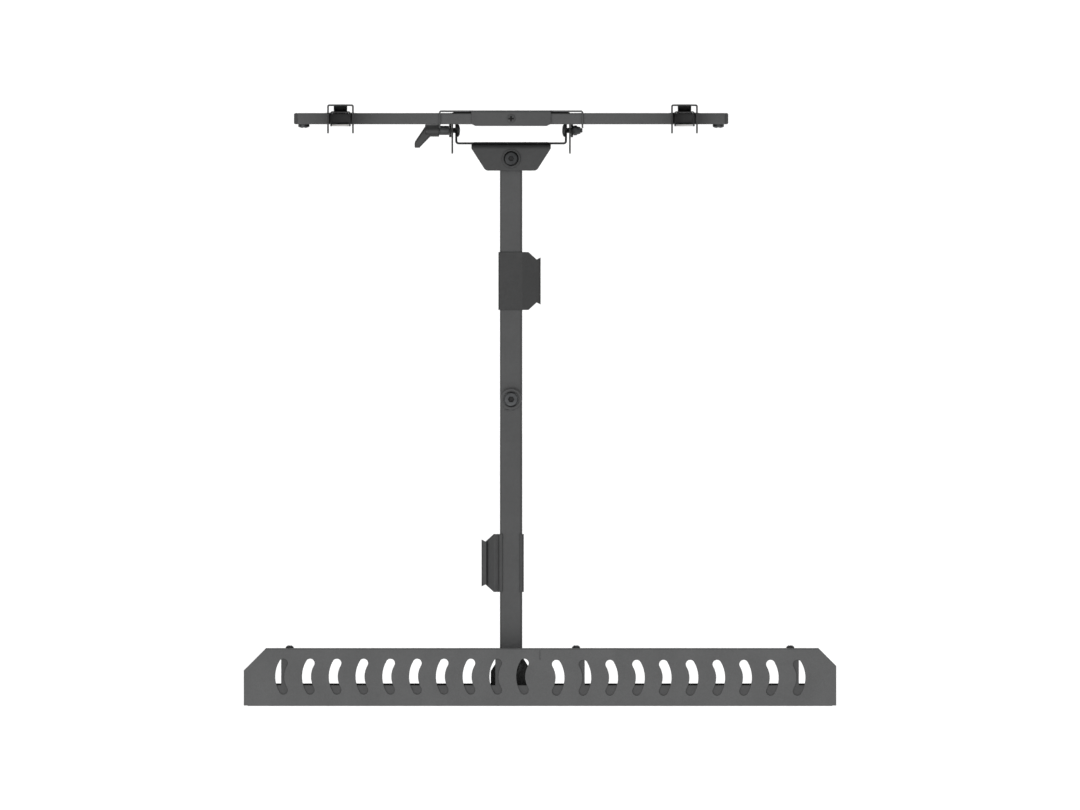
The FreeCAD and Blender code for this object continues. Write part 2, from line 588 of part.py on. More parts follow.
def cable_clip(y, half):
    """Moulded clip that wraps an arm from above and holds a cable trough on its -X side."""
    grip = CLIP_FIT + CLIP_WALL / 2
    wide, tall = ARM_WIDTH / 2 + grip, half + grip
    start, end = y - CLIP_LENGTH / 2, y + CLIP_LENGTH / 2
    hook, edge = ARM_WIDTH / 2 - CLIP_HOOK, ARM_X - ARM_WIDTH / 2
    outer, floor = edge - CLIP_REACH + CLIP_WALL / 2, CLIP_FLOOR_RISE - half
    wrap = [(-tall, ARM_X - hook), (-tall, ARM_X - wide), (tall, ARM_X - wide),
            (tall, ARM_X + wide), (-tall, ARM_X + wide), (-tall, ARM_X + hook)]
    roof = [(tall, ARM_X), (tall, edge), (tall - CLIP_FALL, outer), (floor, outer), (floor, outer + CLIP_LIP)]
    shelf = [(floor, ARM_X - wide), (floor, ARM_X - wide - CLIP_SHELF),
             (floor + CLIP_FLAP, outer + CLIP_LIP + CLIP_SLIT)]
    wrap, roof, shelf = [folded(path, CLIP_WALL, CLIP_WALL / 2, front, start, CLIP_LENGTH)
                         for path in (wrap, roof, shelf)]
    turn, wall = edge - CLIP_CORNER_START, edge - CLIP_REACH
    neck = wall + CLIP_EAR_WIDTH
    near, far = start + CLIP_CORNER_DEPTH, end - CLIP_CORNER_DEPTH
    outline = [(ARM_X, start, 0), (turn, start, 0), (neck, near, 0), (wall, near - CLIP_EAR, 0),
               (wall, far + CLIP_EAR, 0), (neck, far, 0), (turn, end, 0), (ARM_X, end, 0)]
    trough = roof.fuse(shelf).common(prism(outline, plan, -2 * tall, 4 * tall))
    return wrap.fuse(trough).removeSplitter()


def rear_cable_clip():
    """The clip turned over about the arm's line, so that it grips the rear arm from below."""
    clip = cable_clip(WALL_PIVOT_Y - REAR_CLIP_AT, REAR_HALF)
    clip.rotate(Vector(ARM_X, 0, 0), TO_WALL, 180)
    return clip


def tilt_bracket():
    """U-shaped bracket on the head knuckle; its ears carry the tilt bolts."""
    x = TILT_WIDTH / 2 - TILT_SHEET / 2
    web, tip = TILT_WEB_Y + TILT_SHEET / 2, TILT_Y - TILT_EAR_R
    tall, r = TILT_HEIGHT / 2, TILT_EAR_R
    path = [(ARM_X + x, tip), (ARM_X + x, web), (ARM_X - x, web), (ARM_X - x, tip)]
    bracket = folded(path, TILT_SHEET, TILT_BEND, plan, -tall, 2 * tall)
    back, shoulder = TILT_WEB_Y + TILT_SHEET, TILT_WEB_Y - TILT_BEND
    ear = [(back, -tall, 0), (shoulder, -tall, TILT_SHOULDER_R), (TILT_Y, -r, TILT_SHOULDER_R),
           (tip, -r, r), (tip, r, r),
           (TILT_Y, r, TILT_SHOULDER_R), (shoulder, tall, TILT_SHOULDER_R), (back, tall, 0)]
    bracket = bracket.common(prism(ear, side, ARM_X - TILT_WIDTH / 2, TILT_WIDTH))
    span = TILT_NOTCH_WIDTH / 2
    notch = block((ARM_X - span, ARM_X + span), (shoulder, back), (tall - TILT_NOTCH_DEPTH, tall))
    hole = TILT_BOLT_NECK / 2 + FIT
    square = block((ARM_X - TILT_WIDTH, ARM_X + TILT_WIDTH), (TILT_Y - hole, TILT_Y + hole), (-hole, hole))
    return bracket.cut([notch, mirror_z(notch), square])


def tilt_bolt():
    """Carriage bolt of the +X ear: domed head inside, square neck, shank outwards."""
    seat = Vector(ARM_X + TILT_WIDTH / 2 - TILT_SHEET, TILT_Y, 0)
    half = TILT_BOLT_NECK / 2
    neck_end = ARM_X + YOKE_X - PLAY
    tip = ARM_X + NUT_X + TILT_NUT_HEIGHT + TILT_BOLT_TIP
    head = domed(TILT_BOLT_HEAD_D, TILT_BOLT_HEAD, TILT_BOLT_HEAD * 0.3, seat, RIGHT)
    neck = block((seat.x, neck_end), (TILT_Y - half, TILT_Y + half), (-half, half))
    return head.fuse([neck, rod(TILT_BOLT_D, seat, LEFT, tip - seat.x)])


def tilt_washer():
    """Washer outside the +X yoke ear."""
    base = Vector(ARM_X + WASHER_X, TILT_Y, 0)
    return washer(TILT_WASHER_D, TILT_BOLT_D + 2 * FIT, TILT_WASHER_THICK, base, LEFT)


def tilt_nut():
    """Self-locking nut on the -X tilt bolt."""
    base = Vector(ARM_X - NUT_X, TILT_Y, 0)
    nut = lock_nut(TILT_NUT_AF, TILT_NUT_HEIGHT, TILT_BOLT_D + 2 * FIT, base, RIGHT)
    return nut.rotate(base, RIGHT, 30)


def lever_insert():
    """Threaded steel bush in the foot of the clamp lever."""
    base = Vector(LEVER_X, TILT_Y, 0)
    core = rod(LEVER_CORE_D, base, LEFT, LEVER_NECK + LEVER_HUB / 2)
    bore = rod(TILT_BOLT_D + 2 * RUN, base, LEFT, TILT_NUT_HEIGHT + 2 * TILT_BOLT_TIP)
    return rod(LEVER_NECK_D, base, LEFT, LEVER_NECK).fuse(core).cut(bore)


def clamp_lever():
    """Moulded lever: a round hub on the tilt axis with a raked handle that points to the wall."""
    base = Vector(LEVER_X + LEVER_NECK, TILT_Y, 0)
    end, r = base.x + LEVER_HUB, LEVER_HUB_D / 2
    hub = rod(LEVER_HUB_D, base, LEFT, LEVER_HUB)
    hub = hub.makeFillet(LEVER_EDGE, [edge for edge in hub.Edges if edge.BoundBox.XMin > end - FIT])
    tip, outer = TILT_Y + LEVER_REACH, end + LEVER_SPREAD
    outline = [(end - LEVER_EDGE, TILT_Y - r + LEVER_EDGE, 0),
               (outer, tip - LEVER_TIP_WIDTH, 2 * LEVER_EDGE), (outer, tip, LEVER_EDGE),
               (outer - LEVER_TIP_WIDTH, tip, LEVER_EDGE),
               (end - LEVER_HEEL, TILT_Y + r - LEVER_EDGE, 2 * LEVER_EDGE),
               (base.x + LEVER_EDGE, TILT_Y, 0)]
    handle = prism(outline, plan, -LEVER_THICK / 2, LEVER_THICK)
    rim = [edge for edge in handle.Edges if edge.BoundBox.ZLength < FIT and edge.BoundBox.XMax > end]
    handle = handle.makeFillet(LEVER_EDGE, rim)
    socket = rod(LEVER_CORE_D + 2 * FIT, base, LEFT, LEVER_HUB / 2 + FIT)
    return hub.fuse(handle).cut(socket).removeSplitter()


def tilt_yoke():
    """U-shaped tilting bracket welded to the head plate, between the rails."""
    x = YOKE_X + YOKE_SHEET / 2
    web, tail = HEAD_BACK_Y + YOKE_SHEET / 2, TILT_Y + YOKE_TAIL
    path = [(ARM_X + x, tail), (ARM_X + x, web), (ARM_X - x, web), (ARM_X - x, tail)]
    bracket = folded(path, YOKE_SHEET, HEAD_BEND, plan, -YOKE_HALF, 2 * YOKE_HALF)
    outline = [(HEAD_BACK_Y, -YOKE_HALF, 0), (tail, -YOKE_HALF, YOKE_TAIL_R),
               (tail, YOKE_HALF, YOKE_TAIL_R), (HEAD_BACK_Y, YOKE_HALF, 0)]
    span = YOKE_X + YOKE_SHEET
    bracket = bracket.common(prism(outline, side, ARM_X - span, 2 * span))
    return bracket.cut(rod(TILT_BOLT_D + 2 * RUN, Vector(ARM_X - span, TILT_Y, 0), LEFT, 2 * span))


def rail_window(x, half_width):
    """Cutter where the upper rail passes through a sheet, with its sliding clearance."""
    high = RAIL_HEIGHT / 2 + SLIDE_FIT
    return block((x - half_width, x + half_width), (RAIL_FRONT_Y - SLIDE_FIT, RAIL_BACK_Y + SLIDE_FIT),
                 (RAIL_Z - high, RAIL_Z + high))


def head_tab():
    """Tab of the head plate folded over the upper rail."""
    span = HEAD_TAB_WIDTH / 2
    face, end = HEAD_BACK_Y - HEAD_SHEET / 2, HEAD_FRONT_Y + HEAD_TAB_DEPTH
    top, thick = HEAD_HALF - HEAD_SHEET / 2, HEAD_HALF - HEAD_FOLD_Z
    path = [(face, HEAD_FOLD_Z), (face, top), (end, top)]
    tab = folded(path, HEAD_SHEET, HEAD_BEND, side, ARM_X - span, HEAD_TAB_WIDTH)
    corner = [(ARM_X + span, end, 0), (ARM_X + span, end - HEAD_TAB_CHAMFER_DEPTH, 0),
              (ARM_X + span - HEAD_TAB_CHAMFER, end, 0)]
    corner = prism(corner, plan, HEAD_FOLD_Z, thick)
    hole = rod(RAIL_SCREW_D + 2 * FIT, Vector(ARM_X, RAIL_Y, HEAD_FOLD_Z), UP, thick)
    return tab.cut([corner, mirror_x(corner, ARM_X), hole])


def head_plate():
    """Folded plate of the head: side flanges that hold the rails and a tab over and under them."""
    x = HEAD_WIDTH / 2 - HEAD_SHEET / 2
    face, tail = HEAD_BACK_Y - HEAD_SHEET / 2, HEAD_FRONT_Y + HEAD_FLANGE
    path = [(ARM_X + x, tail), (ARM_X + x, face), (ARM_X - x, face), (ARM_X - x, tail)]
    plate = folded(path, HEAD_SHEET, HEAD_BEND, plan, -HEAD_HALF, 2 * HEAD_HALF)
    span = HEAD_TAB_WIDTH / 2 + BEND_RELIEF
    relief = block((ARM_X - span, ARM_X + span), (HEAD_FRONT_Y, HEAD_BACK_Y), (HEAD_FOLD_Z, HEAD_HALF))
    window = rail_window(ARM_X, HEAD_WIDTH / 2)
    scallop = rod(2 * SCALLOP_R, Vector(ARM_X - HEAD_WIDTH / 2, TILT_Y, 0), LEFT, HEAD_WIDTH)
    plate = plate.cut([relief, mirror_z(relief), window, mirror_z(window), scallop])
    return plate.fuse([head_tab(), mirror_z(head_tab())]).removeSplitter()


def rail_body(inset, start, length):
    """Length of the upper rail's outline, drawn in by an inset."""
    return rounded(RAIL_Y, RAIL_Z, RAIL_DEPTH / 2 - inset, RAIL_HEIGHT / 2 - inset,
                   max(RAIL_CORNER - inset, 0), side, start, length)


def upper_rail():
    """Rectangular tube along X that carries the television arms."""
    length = RAIL_LENGTH - 2 * RAIL_CAP
    start = ARM_X - length / 2
    tube = rail_body(0, start, length).cut(rail_body(RAIL_WALL, start, length))
    middle = Vector(ARM_X, RAIL_Y, RAIL_Z)
    holes = [rod(RAIL_SCREW_D + 2 * FIT, middle, UP, RAIL_HEIGHT)]
    holes += [rod(STOP_D + 2 * FIT, middle + LEFT * x, TO_WALL, RAIL_DEPTH) for x in (STOP_X, -STOP_X)]
    return tube.cut(holes)


def rail_cap():
    """Moulded cap in the +X end of the upper rail, with its upright outer edges rounded."""
    end = ARM_X + RAIL_LENGTH / 2
    start = end - RAIL_CAP
    outline = [(start, RAIL_FRONT_Y, 0), (end, RAIL_FRONT_Y, RAIL_CAP_EDGE),
               (end, RAIL_BACK_Y, RAIL_CAP_EDGE), (start, RAIL_BACK_Y, 0)]
    cap = rail_body(0, start, RAIL_CAP).common(prism(outline, plan, 0, RAIL_PITCH))
    return cap.fuse(rail_body(RAIL_WALL + FIT, start - RAIL_CAP_PLUG, RAIL_CAP_PLUG))


def stop_screw():
    """Pan-head screw on the wall side of the upper rail that stops the +X television arm."""
    seat = Vector(ARM_X + STOP_X, RAIL_BACK_Y, RAIL_Z)
    return pan_screw(STOP_D, STOP_LENGTH, STOP_HEAD_D, STOP_HEAD, seat, TO_ROOM)


def rail_screw():
    """Pan-head screw down through the head plate's tab into the upper rail."""
    seat = Vector(ARM_X, RAIL_Y, HEAD_HALF)
    return pan_screw(RAIL_SCREW_D, RAIL_SCREW_LENGTH, RAIL_SCREW_HEAD_D, RAIL_SCREW_HEAD, seat, DOWN)


def clamp_screw_head(grow):
    """Countersunk head of the +X clamp screw at the upper rail, or with growth the seat for it."""
    seat = Vector(TV_ARM_X, TV_FACE_Y, RAIL_Z)
    wide, narrow = CLAMP_SCREW_HEAD_D / 2 + grow, CLAMP_SCREW_D / 2 + grow
    return Part.makeCone(wide, narrow, TV_ARM_SHEET, seat, TO_WALL)


def clamp_screw_shank(grow):
    """Shank of the +X clamp screw at the upper rail, or with growth the hole for it."""
    seat = Vector(TV_ARM_X, TV_FACE_Y, RAIL_Z)
    return rod(CLAMP_SCREW_D + 2 * grow, seat, TO_WALL, CLAMP_BACK_Y - TV_FACE_Y)


def channel(width, sheet, bend, face_y, tail_y, low, height):
    """Upright U-channel on the +X television arm's line, its web towards the room."""
    leg, web = width / 2 - sheet / 2, face_y + sheet / 2
    path = [(TV_ARM_X + leg, tail_y), (TV_ARM_X + leg, web), (TV_ARM_X - leg, web), (TV_ARM_X - leg, tail_y)]
    return folded(path, sheet, bend, plan, low, height)


def tv_arm():
    """Upright channel of the +X side, drilled for the television's mounting screws."""
    arm = channel(TV_ARM_WIDTH, TV_ARM_SHEET, TV_ARM_BEND, TV_FACE_Y, TV_BACK_Y,
                  -TV_ARM_HEIGHT / 2, TV_ARM_HEIGHT)
    cuts = [rail_window(TV_ARM_X, TV_ARM_WIDTH / 2), clamp_screw_head(FIT)]
    for pitch in TV_HOLE_PITCHES:
        cuts.append(rod(TV_HOLE_D, Vector(TV_ARM_X, TV_FACE_Y, pitch / 2), TO_WALL, TV_ARM_SHEET))
    return arm.cut(cuts + [mirror_z(cut) for cut in cuts])


def rail_clamp():
    """Channel inside the +X television arm that grips the upper rail from the front."""
    clamp = channel(CLAMP_WIDTH, CLAMP_SHEET, CLAMP_BEND, CLAMP_FRONT_Y, CLAMP_TAIL_Y,
                    RAIL_Z - CLAMP_HEIGHT / 2, CLAMP_HEIGHT)
    high = RAIL_HEIGHT / 2 + SLIDE_FIT
    mouth = block((TV_ARM_X - CLAMP_WIDTH, TV_ARM_X + CLAMP_WIDTH), (CLAMP_BACK_Y, CLAMP_TAIL_Y),
                  (RAIL_Z - high, RAIL_Z + high))
    return clamp.cut([mouth, clamp_screw_shank(FIT)])


def clamp_spacer():
    """Moulded block between the +X television arm's face and the upper rail clamp."""
    start = TV_FACE_Y + TV_ARM_SHEET
    spacer = rounded(RAIL_Z, TV_ARM_X, SPACER_HEIGHT / 2, SPACER_WIDTH / 2, SPACER_CORNER,
                     front, start, CLAMP_FRONT_Y - start)
    return spacer.cut(clamp_screw_shank(FIT))


def glide_pad():
    """Nylon pad between the legs of the +X clamp, close behind the upper rail."""
    wide, tall = CLAMP_WIDTH / 2 - CLAMP_SHEET, PAD_HEIGHT / 2
    return block((TV_ARM_X - wide, TV_ARM_X + wide), (RAIL_BACK_Y + RUN, CLAMP_TAIL_Y),
                 (RAIL_Z - tall, RAIL_Z + tall))


def both_rails(shape):
    """A piece at the upper rail and its copy at the lower rail."""
    return [shape, mirror_z(shape)]


def both_sides(shapes):
    """Pieces of the +X side of the head and their copies on the -X side."""
    return shapes + [mirror_x(shape, ARM_X) for shape in shapes]


def parts():
    """Every node's name and its list of solids."""
    wall_bolt, wall_washers, wall_nut = arm_pivot_set(WALL_PIVOT_Y, WALL_GRIP_Z + WALL_KNUCKLE_SHEET)
    elbow_bolt, elbow_washers, elbow_nut = arm_pivot_set(ELBOW_Y, REAR_HALF)
    head_bolt, head_washers, head_nut = head_pivot_set()
    nodes = {
        "wall_plate": [wall_plate()],
        "wall_knuckle": [wall_knuckle()],
        "top_cover": [top_cover()],
        "bottom_cover": [mirror_z(top_cover())],
        "cover_screws": cover_screws(),
        "wall_pivot_bolt": [wall_bolt],
        "wall_pivot_washers": wall_washers,
        "wall_pivot_nut": [wall_nut],
        "rear_arm": [rear_arm()],
        "rear_arm_plug": [end_plug(WALL_PIVOT_Y, -1, REAR_HALF, REAR_ARM_WALL)],
        "wall_pivot_bushes": bushes(WALL_PIVOT_Y, REAR_HALF, ARM_BOLT_D),
        "rear_cable_clip": [rear_cable_clip()],
        "elbow_bolt": [elbow_bolt],
        "elbow_washers": elbow_washers,
        "elbow_nut": [elbow_nut],
        "front_arm": [front_arm()],
        "front_arm_elbow_plug": [end_plug(ELBOW_Y, -1, FRONT_HALF, FRONT_ARM_WALL)],
        "front_arm_head_plug": [end_plug(HEAD_PIVOT_Y, 1, FRONT_HALF, FRONT_ARM_WALL)],
        "elbow_bushes": bushes(ELBOW_Y, FRONT_HALF, ARM_BOLT_D),
        "head_pivot_bushes": bushes(HEAD_PIVOT_Y, FRONT_HALF, HEAD_BOLT_D),
        "front_cable_clip": [cable_clip(ELBOW_Y - FRONT_CLIP_AT, FRONT_HALF)],
        "head_knuckle": [head_knuckle()],
        "head_pivot_bolt": [head_bolt],
        "head_pivot_washers": head_washers,
        "head_pivot_nut": [head_nut],
        "tilt_bracket": [tilt_bracket()],
        "tilt_bolts": both_sides([tilt_bolt()]),
        "tilt_washers": both_sides([tilt_washer()]),
        "tilt_nut": [tilt_nut()],
        "clamp_lever": [clamp_lever()],
        "clamp_lever_insert": [lever_insert()],
        "tilt_yoke": [tilt_yoke()],
        "head_plate": [head_plate()],
        "upper_rail": [upper_rail()],
        "lower_rail": [mirror_z(upper_rail())],
        "rail_end_caps": both_sides(both_rails(rail_cap())),
        "rail_stop_screws": both_sides(both_rails(stop_screw())),
        "rail_screws": both_rails(rail_screw()),
    }
    per_arm = {"tv_arm": [tv_arm()], "rail_clamps": both_rails(rail_clamp()),
               "clamp_spacers": both_rails(clamp_spacer()), "glide_pads": both_rails(glide_pad()),
               "clamp_screws": both_rails(clamp_screw_head(0).fuse(clamp_screw_shank(0)))}
    for name, shapes in per_arm.items():
        nodes[name + "_left"] = shapes
        nodes[name + "_right"] = [mirror_x(shape, TV_MIDDLE_X) for shape in shapes]
    return nodes


os.makedirs("parts", exist_ok=True)
for node, shapes in parts().items():
    solids = [solid for shape in shapes for solid in shape.Solids]
    whole = solids[0] if len(solids) == 1 else Part.makeCompound(solids)
    whole.exportStep(f"parts/{node}.step")
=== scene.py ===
import bmesh
import bpy
import json
import math
import numpy as np
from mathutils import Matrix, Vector


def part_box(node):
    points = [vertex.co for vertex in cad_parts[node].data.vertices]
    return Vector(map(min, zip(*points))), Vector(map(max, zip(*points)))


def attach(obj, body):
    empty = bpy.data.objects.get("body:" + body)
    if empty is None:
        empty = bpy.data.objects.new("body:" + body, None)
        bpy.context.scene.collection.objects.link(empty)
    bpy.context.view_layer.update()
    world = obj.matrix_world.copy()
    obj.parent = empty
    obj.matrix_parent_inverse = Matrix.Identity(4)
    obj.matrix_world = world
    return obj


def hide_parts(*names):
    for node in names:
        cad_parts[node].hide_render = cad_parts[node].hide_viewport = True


# Dressing for the swivelling television mount: coats, edges, screws, weld beads and studio.
# The frame is in metres. The wall is Y = 0, the room lies towards -Y, +Z is up, +X is the lever's side.

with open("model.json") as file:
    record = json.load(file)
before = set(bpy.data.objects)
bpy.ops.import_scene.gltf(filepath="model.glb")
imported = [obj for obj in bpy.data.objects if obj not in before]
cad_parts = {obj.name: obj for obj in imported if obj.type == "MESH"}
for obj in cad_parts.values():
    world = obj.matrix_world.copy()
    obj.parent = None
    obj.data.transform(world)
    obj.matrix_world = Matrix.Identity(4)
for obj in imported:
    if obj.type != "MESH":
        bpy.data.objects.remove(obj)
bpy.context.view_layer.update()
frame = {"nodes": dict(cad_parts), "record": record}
nodes = frame["nodes"]
node_body = {n: body for body, names in frame["record"]["behaviour"]["bodies"].items() for n in names}
node_slot = {part["node"]: part["material_slot"] for part in frame["record"]["subparts"]}

MM = 0.001
UP = np.array([0.0, 0.0, 1.0])
LEFT = np.array([1.0, 0.0, 0.0])
TO_WALL = np.array([0.0, 1.0, 0.0])

# Photograph: a straight look down from above, wall at the bottom edge
PHOTO_WIDTH = 1080
PHOTO_HEIGHT = 810
MM_PER_PIXEL = 1.1628
WALL_PIXEL_Y = 706            # row of the wall in the photograph
CAMERA_HEIGHT = 4.0
VIEW_DEPTH = 50.0

# Studio
FLOOR_DROP = 1.3              # floor below the arm line, so far that no shadow reads on it
FLOOR_REACH = 30.0            # middle of the floor to its edges
HORIZON_LIGHT = 0.20
HORIZON_RISE = 0.25           # sine of the height where the surround starts to brighten
OVERHEAD_LIGHT = 1.39
SUN_LIGHT = 1.10
SUN_SPREAD = math.radians(60)
SUN_FROM = (0.45, 0.55, 1.0)

# Finishes, as linear grey levels
COVER_TONE = 0.078
PLATE_TONE = 0.046
WEB_TONE = 0.036              # wall plate between its flanges, painted darker as shade inside the cover box
ARM_TONE = 0.0535
HEAD_TONE = 0.036
RAIL_TONE = 0.063
TV_ARM_TONE = 0.044
# darker copy of the coat, painted shade, for parts that sit in shade such as the wall knuckle inside the
# cover box
IN_SHADE_TONE = 0.017
# near-black painted shade: in recesses, along the tilt bracket's notch and on the inner faces of the
# wall plate's flanges
PAINTED_SHADE_TONE = 0.003
PLASTIC_TONE = 0.028
CLIP_TONE = 0.0155
SCREW_TONE = 0.052
OXIDE_TONE = 0.026
PHOSPHATE_TONE = 0.062
NYLON_TONE = 0.86
FLOOR_TONE = 0.96

NOISE_LOW = 0.3               # span in which a cloudy pattern mostly stays
NOISE_HIGH = 0.7
MIX_FIRST = 6                 # colour sockets of a Mix node
MIX_SECOND = 7
MIX_RESULT = 2
OXIDE_SHEEN = {"metallic": 0.85, "smooth": 0.28, "rough": 0.46}
PHOSPHATE_SHEEN = {"metallic": 0.15, "smooth": 0.50, "rough": 0.66}

FOLD_HEIGHT = 61.5 * MM       # height where the folds of the wall plate start, and the near-black painted shade with them
SHADE_END_HEIGHT = 65.2 * MM       # height from where the wall plate has its own tone; from FOLD_HEIGHT up to here its faces are painted near-black shade
SHADED_TOP_DEPTH = 0.5 * MM         # painted shade rim at the top ends of the television arms
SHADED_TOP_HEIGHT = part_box("tv_arm_left")[1][2] - SHADED_TOP_DEPTH
ZONE_EDGE = 0.5 * MM          # height over which one tone of a coat runs into the next

# Meshes
TURN = np.linspace(0.0, 2.0 * math.pi, 97)   # angles round a turned piece; the last is the first again
JOIN_DISTANCE = 0.002 * MM
FLAT_ANGLE = math.radians(0.4)
SMOOTH_ANGLE = math.radians(38)
EDGE_ANGLE = math.radians(28)
EDGE_WIDTH = 0.35 * MM        # rounding of pressed and sawn edges
EDGE_STEPS = 2
DOME_ROWS = 14
HEAD_ROWS = 30
SUNK_ROWS = 28
TRIM_ROWS = 6
COLLAR_ROWS = 6
HUB_ROWS = 8
HANDLE_ROWS = 40
CAP_ROWS = 8
RIDGE_ROWS = 25
THREAD_ROWS = 8               # rows in one pitch
WELD_ROWS = 3                 # rows in one millimetre of a bead

# Sizes from here on are in millimetres; shares, powers and angles are plain numbers.

# Threads, as radius and pitch
M5 = (2.5, 0.8)
M6 = (3.0, 1.0)
M8 = (4.0, 1.25)
M10 = (5.0, 1.5)
THREAD_DEPTH = 0.58           # share of the pitch
PLAIN_SHARE = 0.35            # share of a shank without thread
TIP_DEPTH = 1.2               # cone at a shank's tip, in thread depths

# Button heads of the upright pivots
M10_HEAD = 5.5
M10_SOCKET = 6.0
M8_HEAD = 4.4
M8_SOCKET = 5.0
SOCKET_FLOOR = 0.35           # share of the head's height
BUTTON_FLAT = 0.72            # share of the head's radius
BUTTON_RIM = 0.22             # share of the head's height
BUTTON_EDGE = 0.4
CHAMFER = 0.3                 # broken edge of sockets and small heads

# Cross recess, as shares of the head's radius and of the recess's depth
BAR_HALF = 0.20
BAR_FLANK = 0.07
BAR_REACH = 0.66
BAR_END = 0.10
PIT_MIDDLE = 0.45             # depth in the middle
PIT_SPREAD = 0.30             # radius from where the bars have their full depth
PIT_DARK = 0.3                # depth from where the recess is painted black as shade

# Pan heads and countersunk heads
PAN_POWER = 2.4
PAN_RECESS = 0.55             # share of the head's height
RAIL_SCREW_HEAD = 2.4
RAIL_SCREW_RIM = 0.9
RAIL_SCREW_SHANK = 8.0
STOP_HEAD_D = 13.2
STOP_HEAD = 4.6
STOP_RIM = 0.6 * STOP_HEAD
COVER_SCREW_HEAD_D = 9.5
COVER_SCREW_HEAD = 3.4
COVER_SCREW_RIM = 1.2
COVER_SCREW_LEAN = math.pi / 4
COVER_SCREW_MIDDLE = -42.0
SUNK_DEPTH = 2.0
SUNK_FLAT = 0.96              # share of the head's radius
SUNK_RECESS = 0.7             # share of the head's depth
SUNK_RIM = 0.15

# Nuts
NUT_FACE = 0.48               # radius of the ring on a nut's face, as a share of its width
NUT_SLOPE = 1.7               # widening of the trimming cone for each millimetre of height
BORE_ROOM = 0.05
LOCK_TRIM = 0.14              # share of the hexagon's height
LOCK_BODY = 0.66              # share of the nut's height
COLLAR = 0.44                 # share of the nut's width
COLLAR_EDGE = 0.9
RING_WIDTH = 0.9
RING_DEPTH = 1.2
CONE_TRIM = 0.18
CONE_BODY = 0.55
CONE_END = 0.9                # wall of the squeezed end, before and after its broken edge
CONE_LIP = 0.6

# Carriage bolts and nut of the tilt axis
TILT_SEAT = 62.5              # head middle to the seat of a carriage bolt
TILT_HEAD = 3.2
TILT_RIM = 0.5
TILT_NECK = 6.4               # square neck
TILT_NECK_DEPTH = 2.2
TILT_NECK_END = 2.6
TILT_NUT_CONE = 2.1           # squeezed end of the tilt nut beyond the solid

# Clamp lever
LEVER_HUB_D = 14.6
LEVER_HUB = 16.3
LEVER_HUB_FOOT = 0.5
LEVER_HUB_EDGE = 1.4
LEVER_WIDER = 0.5             # handle beyond the solid, at its back and at its tip
LEVER_LONGER = 0.7
LEVER_HEEL = 6.9              # width of the handle beside the hub and at its tip
LEVER_TIP = 6.4
LEVER_CAP = 0.9               # rounded end of the handle
LEVER_CAP_FACE = 0.82         # size of its flat end, as a share of the last section
LEVER_THICK = (11.0, 11.0, 8.6)
LEVER_THICK_AT = (0, 0.3, 1)  # shares of the handle's run
LEVER_POWER = 0.45

# Weld beads
KNUCKLE_HALF = 23.7           # half width of the wall knuckle where it is welded to the plate
WALL_WELD = 2.6
WALL_WELD_SINK = 0.4
WALL_WELD_END = 4.0           # end of the seam before the knuckle's edge
TILT_WELD = 1.5
TILT_WELD_END = 2.0
TILT_WELD_Y = -654.2
TILT_WELD_Z = 16.0
DIAGONAL = 0.7071
WELD_STEP = 2.2               # one ripple of a bead
WELD_CURVE = 1.5              # how far a ripple is set off at the bead's crest
WELD_TROUGH = 0.90            # radius between two ripples and rise on a ripple, as shares
WELD_RIPPLE = 0.14

# Rib at the elbow and slip sheets in the rail clamps
RIDGE_AT = (35.7, -344.0, 30.0)
RIDGE_SIZE = (11.6, 1.6, 0.8)
RIDGE_POWER = 0.5
LINER_THICK = 0.36
LINER_DEPTH = 1.9             # front of a rail clamp to the middle of its liner
LINER_INSET = 2.6
LINER_HEIGHT = 28.0
LINER_Z = 42.0
LINER_POWER = 0.1


def grey(tone, warmth=0.0):
    """Neutral colour of a linear level, a little warmer or cooler."""
    return (tone * (1 + warmth), tone, tone * (1 - warmth))


